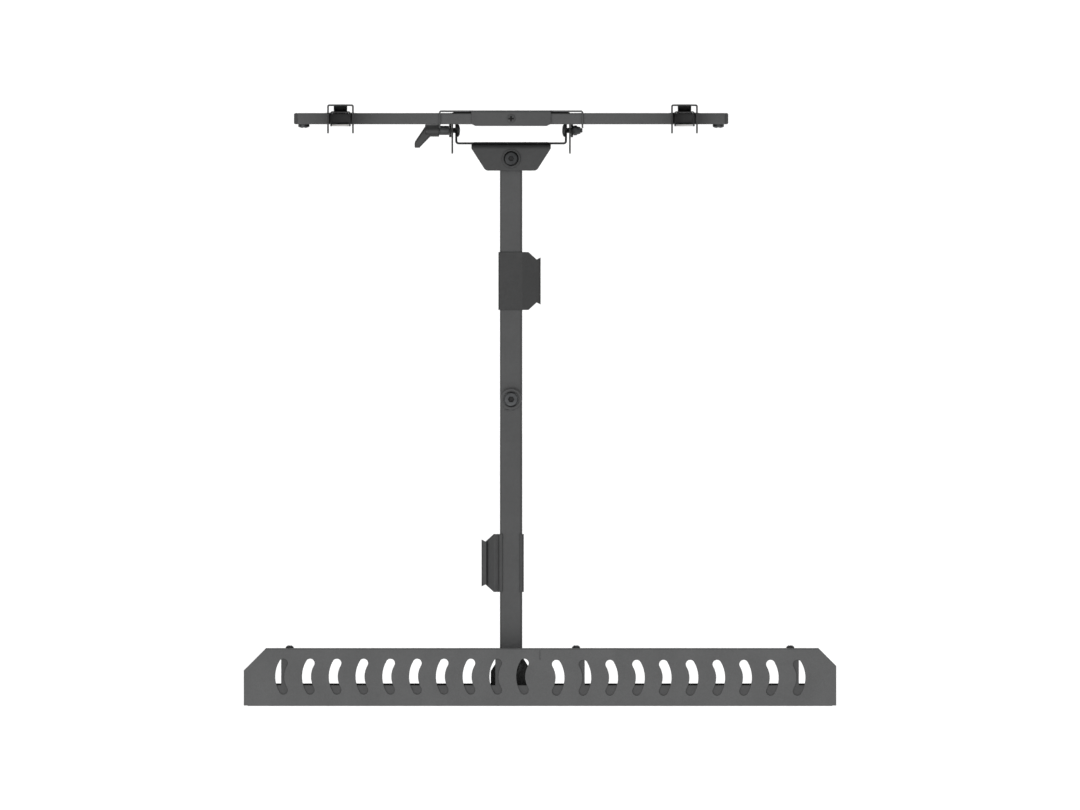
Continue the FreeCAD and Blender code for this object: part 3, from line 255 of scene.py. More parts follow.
class Finish:
    """Material under construction: a Principled shader and the patterns that feed it."""

    def __init__(self, name, roughness, specular, metallic=0.0):
        self.material = bpy.data.materials.new(name)
        self.material.use_nodes = True
        self.nodes = self.material.node_tree.nodes
        self.links = self.material.node_tree.links
        self.shader = self.nodes["Principled BSDF"]
        self.shader.inputs["Roughness"].default_value = roughness
        self.shader.inputs["Metallic"].default_value = metallic
        self.shader.inputs["Specular IOR Level"].default_value = specular
        self.place = self.nodes.new("ShaderNodeTexCoord").outputs["Object"]

    def stretched(self, scale):
        """Object coordinates scaled by a different amount along each axis."""
        mapping = self.nodes.new("ShaderNodeMapping")
        mapping.inputs["Scale"].default_value = scale
        self.links.new(self.place, mapping.inputs["Vector"])
        return mapping.outputs["Vector"]

    def noise(self, scale, detail=2.0, place=None):
        """Cloudy pattern with features about 1/scale metres wide."""
        node = self.nodes.new("ShaderNodeTexNoise")
        node.inputs["Scale"].default_value = scale
        node.inputs["Detail"].default_value = detail
        self.links.new(place or self.place, node.inputs["Vector"])
        return node.outputs["Fac"]

    def cells(self, scale):
        """Distance to the nearest of scattered points, for the dimples of a baked coat."""
        node = self.nodes.new("ShaderNodeTexVoronoi")
        node.inputs["Scale"].default_value = scale
        self.links.new(self.place, node.inputs["Vector"])
        return node.outputs["Distance"]

    def height(self):
        """Distance above or below the arm line, the same on both sides."""
        parts = self.nodes.new("ShaderNodeSeparateXYZ")
        size = self.nodes.new("ShaderNodeMath")
        size.operation = "ABSOLUTE"
        self.links.new(self.place, parts.inputs["Vector"])
        self.links.new(parts.outputs["Z"], size.inputs[0])
        return size.outputs["Value"]

    def levels(self, pattern, low, high, start=NOISE_LOW, end=NOISE_HIGH):
        """Pattern stretched from the span start to end to the span low to high."""
        node = self.nodes.new("ShaderNodeMapRange")
        for socket, value in (("From Min", start), ("From Max", end), ("To Min", low), ("To Max", high)):
            node.inputs[socket].default_value = value
        self.links.new(pattern, node.inputs["Value"])
        return node.outputs["Result"]

    def mottle(self, pattern, tone, dark, light, warmth=0.0):
        """Grey that runs with the pattern from a darker to a lighter share of its tone."""
        ramp = self.nodes.new("ShaderNodeValToRGB")
        first, last = ramp.color_ramp.elements
        first.position = NOISE_LOW
        first.color = (*grey(tone * dark, warmth), 1)
        last.position = NOISE_HIGH
        last.color = (*grey(tone * light, warmth), 1)
        self.links.new(pattern, ramp.inputs["Fac"])
        return ramp.outputs["Color"]

    def mixed(self, first, second, way="MIX"):
        """Two colours mixed, as the factor's socket and the result."""
        mix = self.nodes.new("ShaderNodeMix")
        mix.data_type = "RGBA"
        mix.blend_type = way
        self.links.new(first, mix.inputs[MIX_FIRST])
        self.links.new(second, mix.inputs[MIX_SECOND])
        return mix.inputs["Factor"], mix.outputs[MIX_RESULT]

    def speckled(self, base, pattern, strength):
        """Base colour darkened and lightened by a fine pattern."""
        factor, result = self.mixed(base, pattern, "OVERLAY")
        factor.default_value = strength
        return result

    def layered(self, edge, under, over):
        """Under colour where the edge pattern is 0, over colour where it is 1."""
        factor, result = self.mixed(under, over)
        self.links.new(edge, factor)
        return result

    def colour(self, source):
        self.links.new(source, self.shader.inputs["Base Color"])

    def roughness(self, source):
        self.links.new(source, self.shader.inputs["Roughness"])

    def grain(self, pattern, strength, depth, under=None):
        """Relief of a given depth, laid over another relief where one is given."""
        bump = self.nodes.new("ShaderNodeBump")
        bump.inputs["Strength"].default_value = strength
        bump.inputs["Distance"].default_value = depth
        self.links.new(pattern, bump.inputs["Height"])
        if under:
            self.links.new(under, bump.inputs["Normal"])
        self.links.new(bump.outputs["Normal"], self.shader.inputs["Normal"])
        return bump.outputs["Normal"]


def powder_coat(name, tone, *zones):
    """Baked powder coat on steel: fine dimples, faint clouding and a speckle of unlike grains.

    Each zone is another tone and the height, above or below the arm line, from where it holds, for
    painted shade on the top ends of the television arms and on the inner sides of the wall plate's
    flanges.
    """
    coat = Finish(name, roughness=0.5, specular=0.32)
    cloud = coat.noise(scale=26, detail=3)
    fine = coat.noise(scale=1500)
    base = coat.mottle(cloud, tone, dark=0.93, light=1.07, warmth=-0.01)
    for zone_tone, start in zones:
        zone = coat.mottle(cloud, zone_tone, dark=0.93, light=1.07, warmth=-0.01)
        edge = coat.levels(coat.height(), low=0.0, high=1.0, start=start - ZONE_EDGE, end=start)
        base = coat.layered(edge, base, zone)
    coat.colour(coat.speckled(base, fine, strength=0.30))
    coat.roughness(coat.levels(coat.noise(scale=310), low=0.44, high=0.58))
    peel = coat.grain(coat.cells(scale=620), strength=0.22, depth=0.12 * MM)
    coat.grain(fine, strength=0.30, depth=0.08 * MM, under=peel)
    return coat.material


def moulded_plastic(name, tone):
    """Spark-textured black moulding."""
    plastic = Finish(name, roughness=0.48, specular=0.42)
    fine = plastic.noise(scale=2100)
    base = plastic.mottle(plastic.noise(scale=45), tone, dark=0.92, light=1.08, warmth=-0.015)
    plastic.colour(plastic.speckled(base, fine, strength=0.25))
    plastic.roughness(plastic.levels(plastic.noise(scale=420), low=0.42, high=0.56))
    plastic.grain(fine, strength=0.35, depth=0.07 * MM)
    return plastic.material


def dark_steel(name, tone, metallic, smooth, rough):
    """Darkened steel: a sheen between two roughnesses and faint handling marks."""
    steel = Finish(name, roughness=smooth, specular=0.4, metallic=metallic)
    marks = steel.noise(scale=160, detail=4, place=steel.stretched((1.0, 1.0, 4.0)))
    steel.colour(steel.mottle(marks, tone, dark=0.8, light=1.35, warmth=-0.03))
    steel.roughness(steel.levels(steel.noise(scale=520, detail=3), low=smooth, high=rough))
    steel.grain(steel.noise(scale=2400), strength=0.18, depth=0.04 * MM)
    return steel.material


def natural_nylon(name, tone):
    """Uncoloured moulded nylon, faintly translucent."""
    nylon = Finish(name, roughness=0.45, specular=0.4)
    nylon.colour(nylon.mottle(nylon.noise(scale=60), tone, dark=0.95, light=1.03, warmth=0.02))
    nylon.shader.inputs["Subsurface Weight"].default_value = 0.12
    nylon.shader.inputs["Subsurface Radius"].default_value = (2.0 * MM, 1.8 * MM, 1.5 * MM)
    nylon.roughness(nylon.levels(nylon.noise(scale=380), low=0.38, high=0.52))
    nylon.grain(nylon.noise(scale=1600), strength=0.2, depth=0.06 * MM)
    return nylon.material


def pale_floor(name, tone):
    """Plain studio floor with a hardly visible mottling."""
    floor = Finish(name, roughness=0.9, specular=0.1)
    floor.colour(floor.mottle(floor.noise(scale=1.5), tone, dark=0.99, light=1.0))
    return floor.material


COVER_COAT = powder_coat("cover_coat", COVER_TONE)
# Wall plate: darker between its flanges and near-black on their inner faces, painted shade inside the
# cover box.
PLATE_COAT = powder_coat("plate_coat", WEB_TONE, (PAINTED_SHADE_TONE, FOLD_HEIGHT), (PLATE_TONE, SHADE_END_HEIGHT))
ARM_COAT = powder_coat("arm_coat", ARM_TONE)
HEAD_COAT = powder_coat("head_coat", HEAD_TONE)
RAIL_COAT = powder_coat("rail_coat", RAIL_TONE)
# Television arms: their top ends get the darker in-shade tone as painted shade.
TV_ARM_COAT = powder_coat("tv_arm_coat", TV_ARM_TONE, (IN_SHADE_TONE, SHADED_TOP_HEIGHT))
# Darker copy of the powder coat: painted shade on parts that sit in shade.
IN_SHADE_COAT = powder_coat("in_shade_coat", IN_SHADE_TONE)
# Near-black coat used only as painted shade: recesses, the tilt bracket's notch and the wall plate's
# inner flange faces.
PAINTED_SHADE = powder_coat("painted_shade_black", PAINTED_SHADE_TONE)
BLACK_PLASTIC = moulded_plastic("black_moulding", PLASTIC_TONE)
CLIP_PLASTIC = moulded_plastic("clip_moulding", CLIP_TONE)
GREY_STEEL = dark_steel("grey_fastener", SCREW_TONE, **OXIDE_SHEEN)
BLACK_STEEL = dark_steel("black_oxide", OXIDE_TONE, **OXIDE_SHEEN)
PHOSPHATE = dark_steel("phosphated_steel", PHOSPHATE_TONE, **PHOSPHATE_SHEEN)
NYLON = natural_nylon("natural_nylon", NYLON_TONE)

SLOT_FINISH = {
    # coated parts without their own finish get the painted-shade copy
    "powder_coat": IN_SHADE_COAT,
    "black_plastic": BLACK_PLASTIC,
    "black_steel": GREY_STEEL,
    "natural_nylon": NYLON,
}
NODE_FINISH = {
    "top_cover": COVER_COAT, "bottom_cover": COVER_COAT, "wall_plate": PLATE_COAT,
    "rear_arm": ARM_COAT, "front_arm": ARM_COAT, "head_knuckle": HEAD_COAT, "head_plate": ARM_COAT,
    "upper_rail": RAIL_COAT, "lower_rail": RAIL_COAT,
    "tv_arm_left": TV_ARM_COAT, "tv_arm_right": TV_ARM_COAT,
    "rail_clamps_left": RAIL_COAT, "rail_clamps_right": RAIL_COAT,
    "front_cable_clip": CLIP_PLASTIC,
    "wall_pivot_washers": ARM_COAT, "elbow_washers": ARM_COAT, "head_pivot_washers": HEAD_COAT,
    "tilt_washers": IN_SHADE_COAT, "clamp_lever_insert": PHOSPHATE,
}


def finish_of(node):
    """Finish of a solid: its own where it has one, or else its slot's."""
    return NODE_FINISH.get(node, SLOT_FINISH[node_slot[node]])


def soften_edges(obj):
    """Joins a solid's loose triangles, merges its flat ones and rounds its sharp edges."""
    mesh = obj.data
    if "custom_normal" in mesh.attributes:
        mesh.attributes.remove(mesh.attributes["custom_normal"])
    mesh.shade_smooth()
    weld = obj.modifiers.new("join_triangles", "WELD")
    weld.merge_threshold = JOIN_DISTANCE
    flat = obj.modifiers.new("merge_flats", "DECIMATE")
    flat.decimate_type = "DISSOLVE"
    flat.angle_limit = FLAT_ANGLE
    bevel = obj.modifiers.new("round_edges", "BEVEL")
    bevel.width = EDGE_WIDTH
    bevel.segments = EDGE_STEPS
    bevel.limit_method = "ANGLE"
    bevel.angle_limit = EDGE_ANGLE
    bevel.harden_normals = True
    bevel.use_clamp_overlap = False
    bevel.loop_slide = False


for name, obj in nodes.items():
    obj.data.materials.clear()
    obj.data.materials.append(finish_of(name))
    soften_edges(obj)


def corners_mm(node):
    """Lowest and highest corner of a solid, in millimetres."""
    low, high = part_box(node)
    return np.array(low) / MM, np.array(high) / MM


def add_piece(name, grids, node, finish, replaces=True):
    """Mesh from grids of points in millimetres that rides with a solid and may stand in its place.

    Each grid is an array (rows, columns, 4) of places and a dark mark; a face joins four
    neighbours and is painted black, as shade in a recess, where most of them are marked.
    Equal points are merged afterwards, which closes the seams and the poles, and the faces are turned
    outwards.
    """
    points = np.concatenate([grid[..., :3].reshape(-1, 3) for grid in grids]) * MM
    marks = np.concatenate([grid[..., 3].ravel() for grid in grids])
    starts = np.cumsum([0] + [grid.shape[0] * grid.shape[1] for grid in grids])
    quads = []
    for start, grid in zip(starts, grids):
        index = start + np.arange(grid.shape[0] * grid.shape[1]).reshape(grid.shape[:2])
        quad = np.stack([index[:-1, :-1], index[:-1, 1:], index[1:, 1:], index[1:, :-1]], axis=-1)
        quads.append(quad.reshape(-1, 4))
    quads = np.concatenate(quads)
    mesh = bpy.data.meshes.new(name)
    mesh.vertices.add(len(points))
    mesh.vertices.foreach_set("co", points.ravel())
    mesh.loops.add(quads.size)
    mesh.loops.foreach_set("vertex_index", quads.ravel())
    mesh.polygons.add(len(quads))
    mesh.polygons.foreach_set("loop_start", np.arange(0, quads.size, 4))
    mesh.polygons.foreach_set("material_index", (marks[quads].mean(axis=1) > 0.5).astype(np.int32))
    mesh.update(calc_edges=True)
    work = bmesh.new()
    work.from_mesh(mesh)
    bmesh.ops.remove_doubles(work, verts=work.verts, dist=JOIN_DISTANCE)
    bmesh.ops.recalc_face_normals(work, faces=work.faces)
    work.to_mesh(mesh)
    work.free()
    mesh.shade_smooth()
    mesh.set_sharp_from_angle(angle=SMOOTH_ANGLE)
    mesh.materials.append(finish)
    if marks.any():
        mesh.materials.append(PAINTED_SHADE)
    obj = bpy.data.objects.new(name, mesh)
    bpy.context.scene.collection.objects.link(obj)
    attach(obj, node_body[node])
    if replaces:
        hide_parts(node)


def marked(points, dark=0.0):
    """Grid of places with a dark mark beside each, for painted shade."""
    mark = np.broadcast_to(dark, points.shape[:2])
    return np.concatenate([points, mark[..., None]], axis=-1)


def lathe(rows, base, axis):
    """Turned surface: a point is base + height along the axis + radius across it, at each angle of TURN.

    A row is (radius, height) or (radius, height, dark), each one number or a value for each angle; dark
    marks painted shade.
    """
    rows = [(*row, 0.0)[:3] for row in rows]
    radius, height, dark = [np.stack([np.broadcast_to(row[k], TURN.shape) for row in rows])
                            for k in range(3)]
    across = np.cross(axis, UP if abs(axis[2]) < 0.5 else TO_WALL)
    ring = np.cos(TURN)[:, None] * across + np.sin(TURN)[:, None] * np.cross(axis, across)
    return marked(np.asarray(base) + radius[..., None] * ring + height[..., None] * axis, dark)


def hexagon(across):
    """Radius of a hexagon at every angle: half its width over the cosine from the flat's middle."""
    return across / 2 / np.cos(TURN % (math.pi / 3) - math.pi / 6)


def square(across):
    """Radius of a square at every angle: half its width over the larger of cosine and sine."""
    return across / 2 / np.maximum(np.abs(np.cos(TURN)), np.abs(np.sin(TURN)))


def squared(wave, power):
    """Wave with squarer corners: its sign times a power of its size, where its zeros stay zeros."""
    wave = np.round(wave, 12)
    return np.sign(wave) * np.abs(wave) ** power


def quarter_turn(rows):
    """Angles of a quarter turn."""
    return np.linspace(0, math.pi / 2, rows)


def shoulder(radius, height, edge, rows):
    """Rows of a corner rounded by a quarter circle, from the side up to the top."""
    return [(radius - edge * (1 - math.cos(a)), height - edge + edge * math.sin(a))
            for a in quarter_turn(rows)]


def dome(flat, radius, height, rim):
    """Rows of a domed side: a quarter of an ellipse from the edge of the flat top down to the rim."""
    return [(flat + (radius - flat) * math.sin(a), rim + (height - rim) * math.cos(a))
            for a in quarter_turn(DOME_ROWS)]


def thread(radius, start, end, pitch):
    """Screw thread: the radius swings as a triangle wave of height plus one pitch for each turn."""
    heights = np.linspace(start, end, max(2, int(abs(end - start) / pitch * THREAD_ROWS)))
    wave = [np.abs(2 * ((h / pitch - TURN / (2 * math.pi)) % 1) - 1) for h in heights]
    return [(radius - THREAD_DEPTH * pitch * w, h) for w, h in zip(wave, heights)]


def shank(size, length):
    """Rows of a shank that hangs from height 0: plain neck, thread, cone and flat end."""
    radius, pitch = size
    plain = -PLAIN_SHARE * length
    tip = radius - TIP_DEPTH * THREAD_DEPTH * pitch
    turns = thread(radius, plain, pitch - length, pitch)
    return [(radius, 0), (radius, plain)] + turns + [(tip, -length), (0, -length)]


def button_head(radius, height, socket):
    """Rows of a domed head: hexagon socket, bevelled mouth, flat top, domed side, rim."""
    mouth, floor = hexagon(socket), SOCKET_FLOOR * height
    # The socket's floor and walls carry the dark mark: painted shade in the recess.
    recess = [(0, floor, 1), (mouth, floor, 1), (mouth, height - CHAMFER, 1), (mouth + CHAMFER, height)]
    side = dome(BUTTON_FLAT * radius, radius, height, BUTTON_RIM * height)
    return recess + side + [(radius, BUTTON_EDGE), (radius - BUTTON_EDGE, 0)]


def cross_pit(share, lean=0.0):
    """Depth of a cross recess, 0 to 1, at a share of the radius and every angle of TURN.

    It is full inside two crossed bars, falls off over their flanks and ends, and is less in the middle.
    """
    x = share * np.abs(np.cos(TURN - lean))
    y = share * np.abs(np.sin(TURN - lean))
    flank = np.clip((BAR_HALF - np.minimum(x, y)) / BAR_FLANK, 0, 1)
    end = np.clip((BAR_REACH - np.maximum(x, y)) / BAR_END, 0, 1)
    return flank * end * (PIT_MIDDLE + (1 - PIT_MIDDLE) * min(1.0, share / PIT_SPREAD))


def pan_head(radius, height, rim, lean=0.0):
    """Rows of a pan head: a top that falls with a power of the radius, its cross recess, and the rim."""
    shares = np.linspace(0, 1, HEAD_ROWS)
    pits = [cross_pit(k, lean) for k in shares]
    falls = rim + (height - rim) * (1 - shares ** PAN_POWER)
    # The deeper part of the cross recess carries the dark mark: painted shade.
    top = [(radius * k, fall - PAN_RECESS * height * pit, pit > PIT_DARK)
           for k, fall, pit in zip(shares, falls, pits)]
    return top + [(radius, CHAMFER), (radius - CHAMFER, 0)]


def sunk_head(radius):
    """Rows of a countersunk head: a flat with a cross recess, then the upper edge of its cone."""
    shares = np.linspace(0, SUNK_FLAT, SUNK_ROWS)
    pits = [cross_pit(k) for k in shares]
    # The deeper part of the cross recess carries the dark mark: painted shade.
    top = [(radius * k, -SUNK_RECESS * SUNK_DEPTH * pit, pit > PIT_DARK) for k, pit in zip(shares, pits)]
    return top + [(radius, -SUNK_RIM)]


def hexagon_body(across, height, trim):
    """Rows of a nut's hexagon, trimmed by a cone over a share of its height at each face."""
    shares = np.concatenate([np.linspace(0, trim, TRIM_ROWS), np.linspace(1 - trim, 1, TRIM_ROWS)])
    corner, face = hexagon(across), NUT_FACE * across
    return [(np.minimum(corner, face + NUT_SLOPE * min(h, height - h)), h) for h in shares * height]


def lock_nut(across, height, bore):
    """Rows of a self-locking nut: a trimmed hexagon, a round collar and the inner ring that grips."""
    body, collar = LOCK_BODY * height, COLLAR * across
    ring, depth = bore + RING_WIDTH, height - RING_DEPTH
    outside = hexagon_body(across, body, LOCK_TRIM) + [(collar, body)]
    outside += shoulder(collar, height, COLLAR_EDGE, COLLAR_ROWS)
    return [(bore, 0)] + outside + [(ring, height), (ring, depth), (bore, depth), (bore, 0)]


def cone_nut(across, height, bore):
    """Rows of an all-steel lock nut: a trimmed hexagon, then a cone that closes on the bolt."""
    end = [(bore + CONE_END, height - CHAMFER), (bore + CONE_LIP, height), (bore, height)]
    return [(bore, 0)] + hexagon_body(across, CONE_BODY * height, CONE_TRIM) + end + [(bore, 0)]


def pivot_fasteners(prefix, size, head, socket, finish):
    """Button-head bolt from above and self-locking nut from below at one of the three upright pivots."""
    low, high = corners_mm(prefix + "_bolt")
    x, y = (low[0] + high[0]) / 2, (low[1] + high[1]) / 2
    radius, seat = (high[0] - low[0]) / 2, high[2] - head
    bolt = lathe(button_head(radius, head, socket) + shank(size, seat - low[2]), (x, y, seat), UP)
    add_piece(prefix + "_button_bolt", [bolt], prefix + "_bolt", finish)

    low, high = corners_mm(prefix + "_nut")
    across = min(high[0] - low[0], high[1] - low[1])
    nut = lathe(lock_nut(across, high[2] - low[2], size[0] + BORE_ROOM), (x, y, high[2]), -UP)
    add_piece(prefix + "_lock_nut", [nut], prefix + "_nut", finish)


def tilt_fasteners():
    """Two carriage bolts with square necks on the tilt axis, heads inwards, and the nut of one bolt."""
    low, high = corners_mm("tilt_bolts")
    middle, radius = (low + high) / 2, (high[2] - low[2]) / 2
    reach = (high[0] - low[0]) / 2 - TILT_SEAT
    neck = square(TILT_NECK)
    rows = dome(0, radius, TILT_HEAD, TILT_RIM)
    rows += [(radius, 0), (neck, 0), (neck, -TILT_NECK_DEPTH), (M6[0], -TILT_NECK_END)]
    rows += shank(M6, reach)[1:]
    bolts = [lathe(rows, middle + way * TILT_SEAT * LEFT, -way * LEFT) for way in (1, -1)]
    add_piece("tilt_carriage_bolts", bolts, "tilt_bolts", PHOSPHATE)

    low, high = corners_mm("tilt_nut")
    across = min(high[1] - low[1], high[2] - low[2])
    rows = cone_nut(across, high[0] - low[0] + TILT_NUT_CONE, M6[0] + BORE_ROOM)
    nut = lathe(rows, (high[0], middle[1], middle[2]), -LEFT)
    add_piece("tilt_lock_nut", [nut], "tilt_nut", PHOSPHATE)


def rail_screws():
    """Pan-head screws that hold the rails, one from above and one from below."""
    low, high = corners_mm("rail_screws")
    x, y, radius = (low[0] + high[0]) / 2, (low[1] + high[1]) / 2, (high[0] - low[0]) / 2
    seat = high[2] - RAIL_SCREW_HEAD
    rows = pan_head(radius, RAIL_SCREW_HEAD, RAIL_SCREW_RIM) + shank(M5, RAIL_SCREW_SHANK)
    screws = [lathe(rows, (x, y, way * seat), way * UP) for way in (1, -1)]
    add_piece("rail_pan_screws", screws, "rail_screws", ARM_COAT)


def stop_screws():
    """Pan-head screws at the four rail ends, where the slides stop."""
    low, high = corners_mm("rail_stop_screws")
    radius, seat = STOP_HEAD_D / 2, high[1] - STOP_HEAD
    rows = pan_head(radius, STOP_HEAD, STOP_RIM) + shank(M6, seat - low[1])
    screws = [lathe(rows, (x, seat, z), TO_WALL) for x in (low[0] + radius, high[0] - radius)
              for z in (low[2] + radius, high[2] - radius)]
    add_piece("rail_stop_pan_screws", screws, "rail_stop_screws", GREY_STEEL)


def cover_screws():
    """Pan-head screws along the front of the covers, three above and three below."""
    low, high = corners_mm("cover_screws")
    radius, seat = COVER_SCREW_HEAD_D / 2, low[1] + COVER_SCREW_HEAD
    rows = pan_head(radius, COVER_SCREW_HEAD, COVER_SCREW_RIM, COVER_SCREW_LEAN)
    rows += shank(M5, high[1] - seat)
    screws = [lathe(rows, (x, seat, z), -TO_WALL)
              for x in (low[0] + radius, COVER_SCREW_MIDDLE, high[0] - radius)
              for z in (low[2] + radius, high[2] - radius)]
    add_piece("cover_pan_screws", screws, "cover_screws", BLACK_STEEL)


def clamp_screws(side):
    """Countersunk screws of the upper and lower rail clamp of one television arm."""
    low, high = corners_mm("clamp_screws_" + side)
    x, radius = (low[0] + high[0]) / 2, (high[0] - low[0]) / 2
    rows = sunk_head(radius) + [(M5[0], -SUNK_DEPTH)] + shank(M5, high[1] - low[1])[1:]
    screws = [lathe(rows, (x, low[1], z), -TO_WALL) for z in (low[2] + radius, high[2] - radius)]
    add_piece("clamp_sunk_screws_" + side, screws, "clamp_screws_" + side, BLACK_STEEL)


def bent_line(run, corners):
    """Points of a level line with corners (share of the run, x, y), at the shares in run."""
    share, x, y = np.array(corners).T
    return np.stack([np.interp(run, share, x), np.interp(run, share, y), np.zeros_like(run)], axis=1)


def clamp_lever():
    """Moulded lever: a turned hub, and a handle whose sections are superellipses between two edge lines.

    A handle point is the middle of the two edges + half their distance times the section's
    cosine term + half the thickness times its sine term, upwards; the end rows shrink to a point.
    """
    low, high = corners_mm("clamp_lever")
    radius = LEVER_HUB_D / 2
    axis_y = low[1] + radius
    rows = [(0, 0), (radius - LEVER_HUB_FOOT, 0), (radius, LEVER_HUB_FOOT)]
    rows += shoulder(radius, LEVER_HUB, LEVER_HUB_EDGE, HUB_ROWS) + [(0, LEVER_HUB)]
    hub = lathe(rows, (low[0], axis_y, 0.0), LEFT)

    run = np.linspace(0, 1, HANDLE_ROWS)
    end, far, tip = low[0] + LEVER_HUB, high[0] + LEVER_WIDER, high[1] + LEVER_LONGER
    # Corners of the edges: share of the run, x from the hub or the back, y from the hub or the tip
    outer = bent_line(run, [
        (0, end - 2.6, low[1] + 1.0),
        (0.06, end - 0.4, low[1] + 2.0),
        (0.80, far - 0.5, tip - 7.4),
        (0.90, far, tip - 5.0),
        (1, far, tip - LEVER_CAP),
    ])
    inner = bent_line(run, [
        (0, low[0] + 3.0, axis_y + 2.0),
        (0.25, end - LEVER_HEEL, axis_y + radius - 0.9),
        (1, far - LEVER_TIP, tip - LEVER_CAP),
    ])
    thick = np.interp(run, LEVER_THICK_AT, LEVER_THICK)
    caps = quarter_turn(CAP_ROWS)
    order = np.concatenate([[0], np.arange(HANDLE_ROWS), np.full(CAP_ROWS, HANDLE_ROWS - 1)])
    end_size = LEVER_CAP_FACE + (1 - LEVER_CAP_FACE) * np.cos(caps)
    size = np.concatenate([[0], np.ones(HANDLE_ROWS), end_size[:-1], [0]])
    push = np.concatenate([np.zeros(HANDLE_ROWS + 1), LEVER_CAP * np.sin(caps)])
    wide, tall = squared(np.cos(TURN), LEVER_POWER), squared(np.sin(TURN), LEVER_POWER)
    middle = (outer + inner)[order] / 2 + push[:, None] * TO_WALL
    half = (outer - inner)[order] / 2
    handle = (middle[:, None] + (size[:, None] * wide)[..., None] * half[:, None]
              + (size * thick[order] / 2)[:, None, None] * tall[:, None] * UP)
    add_piece("lever_handle", [hub, marked(handle)], "clamp_lever", BLACK_PLASTIC)


def weld_bead(start, end, radius, out):
    """Weld bead: a round section carried from start to end, its radius rippled and tapered at the ends.

    Each step along the seam is one ripple, a parabola; it is set off by the cosine of the angle
    round the bead, so the ripples are curved.
    """
    start, end, out = np.asarray(start, float), np.asarray(end, float), np.asarray(out, float)
    length = np.linalg.norm(end - start)
    along = (end - start) / length
    across = np.cross(along, out)
    way = np.linspace(0, length, int(length * WELD_ROWS))[:, None]
    taper = np.sqrt(np.clip(np.minimum(way, length - way) / radius, 0, 1))
    step = (way + WELD_CURVE * np.cos(TURN)) / WELD_STEP % 1
    size = radius * taper * (WELD_TROUGH + WELD_RIPPLE * step * (1 - step) * 4)
    return marked(start + way[..., None] * along + (size * np.cos(TURN))[..., None] * out
                  + (size * np.sin(TURN))[..., None] * across)


def weld_beads():
    """Beads where the wall knuckle meets its plate and where the tilt bracket meets the head knuckle;
    the second pair is near-black, painted shade along the bracket's notch.
    """
    low, high = corners_mm("wall_knuckle")
    middle, y, tall = (low[0] + high[0]) / 2, high[1] - WALL_WELD_SINK, high[2] - WALL_WELD_END
    beads = []
    for way in (1, -1):
        x = middle + way * KNUCKLE_HALF
        beads.append(weld_bead((x, y, -tall), (x, y, tall), WALL_WELD, (way * DIAGONAL, -DIAGONAL, 0)))
    add_piece("wall_knuckle_welds", beads, "wall_knuckle", IN_SHADE_COAT, replaces=False)

    low, high = corners_mm("head_knuckle")
    first, last = low[0] + TILT_WELD_END, high[0] - TILT_WELD_END
    # These beads are near-black: painted shade along the tilt bracket's notch.
    beads = [weld_bead((first, TILT_WELD_Y, way * TILT_WELD_Z), (last, TILT_WELD_Y, way * TILT_WELD_Z),
                       TILT_WELD, (0, 0, way)) for way in (1, -1)]
    add_piece("tilt_bracket_welds_painted_shade", beads, "head_knuckle", PAINTED_SHADE, replaces=False)


def elbow_ridge():
    """Short pressed rib in front of the elbow bolt: a flat ellipsoid with square-set sides.

    A point is the middle + half the length and width times the squared-off cosine of the rise and the
    squared-off cosine and sine of the turn, + the height times the sine of the rise.
    """
    polar = np.linspace(-math.pi / 2, math.pi / 2, RIDGE_ROWS)[:, None]
    ring = squared(np.cos(polar), RIDGE_POWER)
    x = RIDGE_SIZE[0] / 2 * ring * squared(np.cos(TURN), RIDGE_POWER)
    y = RIDGE_SIZE[1] / 2 * ring * squared(np.sin(TURN), RIDGE_POWER)
    z = RIDGE_SIZE[2] * np.sin(polar) * np.ones_like(TURN)
    grid = np.stack([x, y, z], axis=-1) + np.array(RIDGE_AT)
    add_piece("elbow_ridge", [marked(grid)], "rear_arm", ARM_COAT, replaces=False)


def clamp_liners(side):
    """Thin slip sheets on the front of the rails inside the clamps: flat slabs with rounded outlines.

    A slab point is its middle + half its width and height times a superellipse's cosine and sine,
    scaled by the row, + the row's depth.
    """
    scale = np.array([0.0, 1.0, 1.0, 0.0])[:, None]
    depth = np.array([-0.5, -0.5, 0.5, 0.5])[:, None] * LINER_THICK
    low, high = corners_mm("rail_clamps_" + side)
    wide, tall = (high[0] - low[0]) / 2 - LINER_INSET, LINER_HEIGHT / 2
    slabs = []
    for way in (1, -1):
        x = (low[0] + high[0]) / 2 + wide * scale * squared(np.cos(TURN), LINER_POWER)
        z = way * LINER_Z + tall * scale * squared(np.sin(TURN), LINER_POWER)
        y = low[1] + LINER_DEPTH + depth * np.ones_like(x)
        slabs.append(marked(np.stack([x, y, z], axis=-1)))
    add_piece("clamp_liners_" + side, slabs, "rail_clamps_" + side, BLACK_PLASTIC, replaces=False)


pivot_fasteners("wall_pivot", M10, M10_HEAD, M10_SOCKET, GREY_STEEL)
pivot_fasteners("elbow", M10, M10_HEAD, M10_SOCKET, GREY_STEEL)
pivot_fasteners("head_pivot", M8, M8_HEAD, M8_SOCKET, BLACK_STEEL)
tilt_fasteners()
rail_screws()
stop_screws()
cover_screws()
clamp_screws("left")
clamp_screws("right")
clamp_lever()
weld_beads()
elbow_ridge()
clamp_liners("left")
clamp_liners("right")


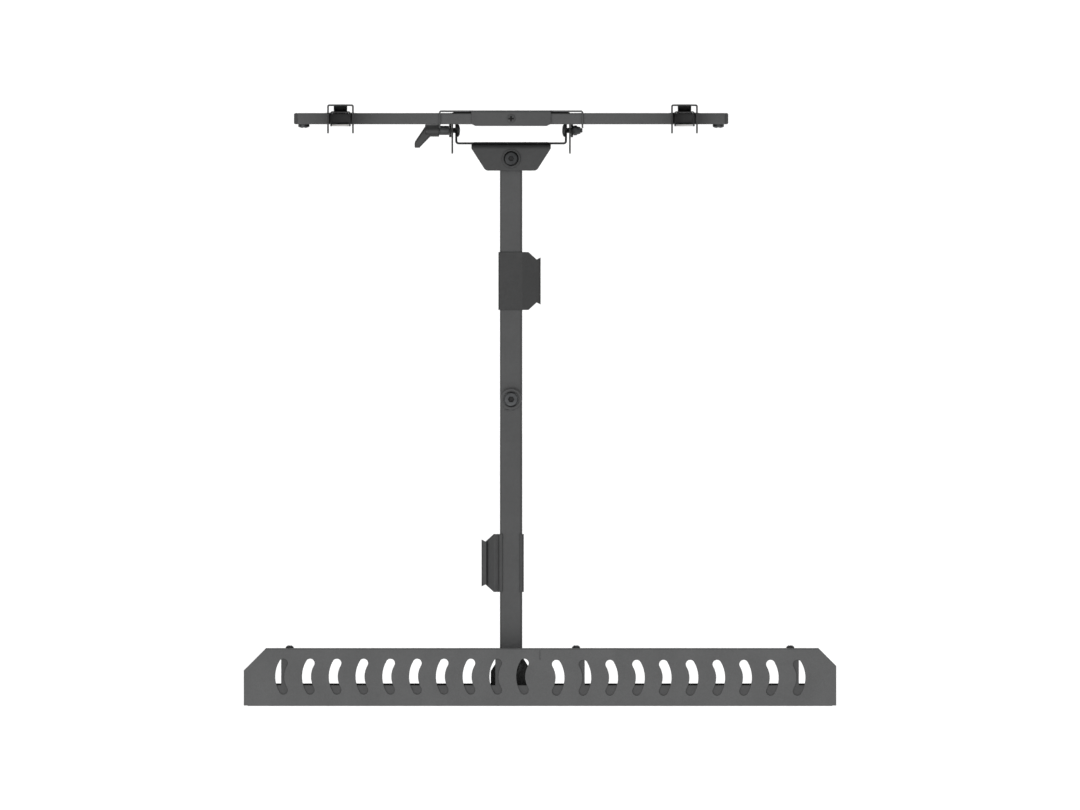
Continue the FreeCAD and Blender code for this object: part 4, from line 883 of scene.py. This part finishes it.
def studio():
    """Pale floor far below, a white surround that is brightest overhead, and a weak broad sun."""
    corners = FLOOR_REACH * np.array([[-1, -1], [1, -1], [1, 1], [-1, 1]])
    mesh = bpy.data.meshes.new("studio_floor")
    mesh.from_pydata([(x, y, -FLOOR_DROP) for x, y in corners], [], [(0, 1, 2, 3)])
    mesh.materials.append(pale_floor("pale_floor", FLOOR_TONE))
    floor = bpy.data.objects.new("studio_floor", mesh)
    bpy.context.scene.collection.objects.link(floor)

    world = bpy.data.worlds.new("studio_surround")
    world.use_nodes = True
    tree = world.node_tree
    direction = tree.nodes.new("ShaderNodeTexCoord")
    parts = tree.nodes.new("ShaderNodeSeparateXYZ")
    rise = tree.nodes.new("ShaderNodeMapRange")
    rise.interpolation_type = "SMOOTHSTEP"
    rise.inputs["From Min"].default_value = HORIZON_RISE
    rise.inputs["To Min"].default_value = HORIZON_LIGHT
    rise.inputs["To Max"].default_value = OVERHEAD_LIGHT
    tree.links.new(direction.outputs["Generated"], parts.inputs["Vector"])
    tree.links.new(parts.outputs["Z"], rise.inputs["Value"])
    tree.links.new(rise.outputs["Result"], tree.nodes["Background"].inputs["Strength"])
    tree.nodes["Background"].inputs["Color"].default_value = (1, 1, 1, 1)
    bpy.context.scene.world = world

    sun = bpy.data.lights.new("studio_sun", "SUN")
    sun.energy = SUN_LIGHT
    sun.angle = SUN_SPREAD
    lamp = bpy.data.objects.new("studio_sun", sun)
    lamp.rotation_euler = Vector(SUN_FROM).to_track_quat("Z", "Y").to_euler()
    bpy.context.scene.collection.objects.link(lamp)


def photo_camera():
    """Parallel view straight down; image right is -X and image up is towards the room."""
    camera = bpy.data.cameras.new("photo_camera")
    camera.type = "ORTHO"
    camera.ortho_scale = PHOTO_WIDTH * MM_PER_PIXEL * MM
    camera.clip_end = VIEW_DEPTH
    stand = bpy.data.objects.new("photo_camera", camera)
    middle_y = (PHOTO_HEIGHT / 2 - WALL_PIXEL_Y) * MM_PER_PIXEL * MM
    stand.location = (0.0, middle_y, CAMERA_HEIGHT)
    stand.rotation_euler = (0.0, 0.0, math.pi)
    bpy.context.scene.collection.objects.link(stand)
    bpy.context.scene.camera = stand


studio()
photo_camera()
bpy.context.scene.view_settings.view_transform = "Standard"
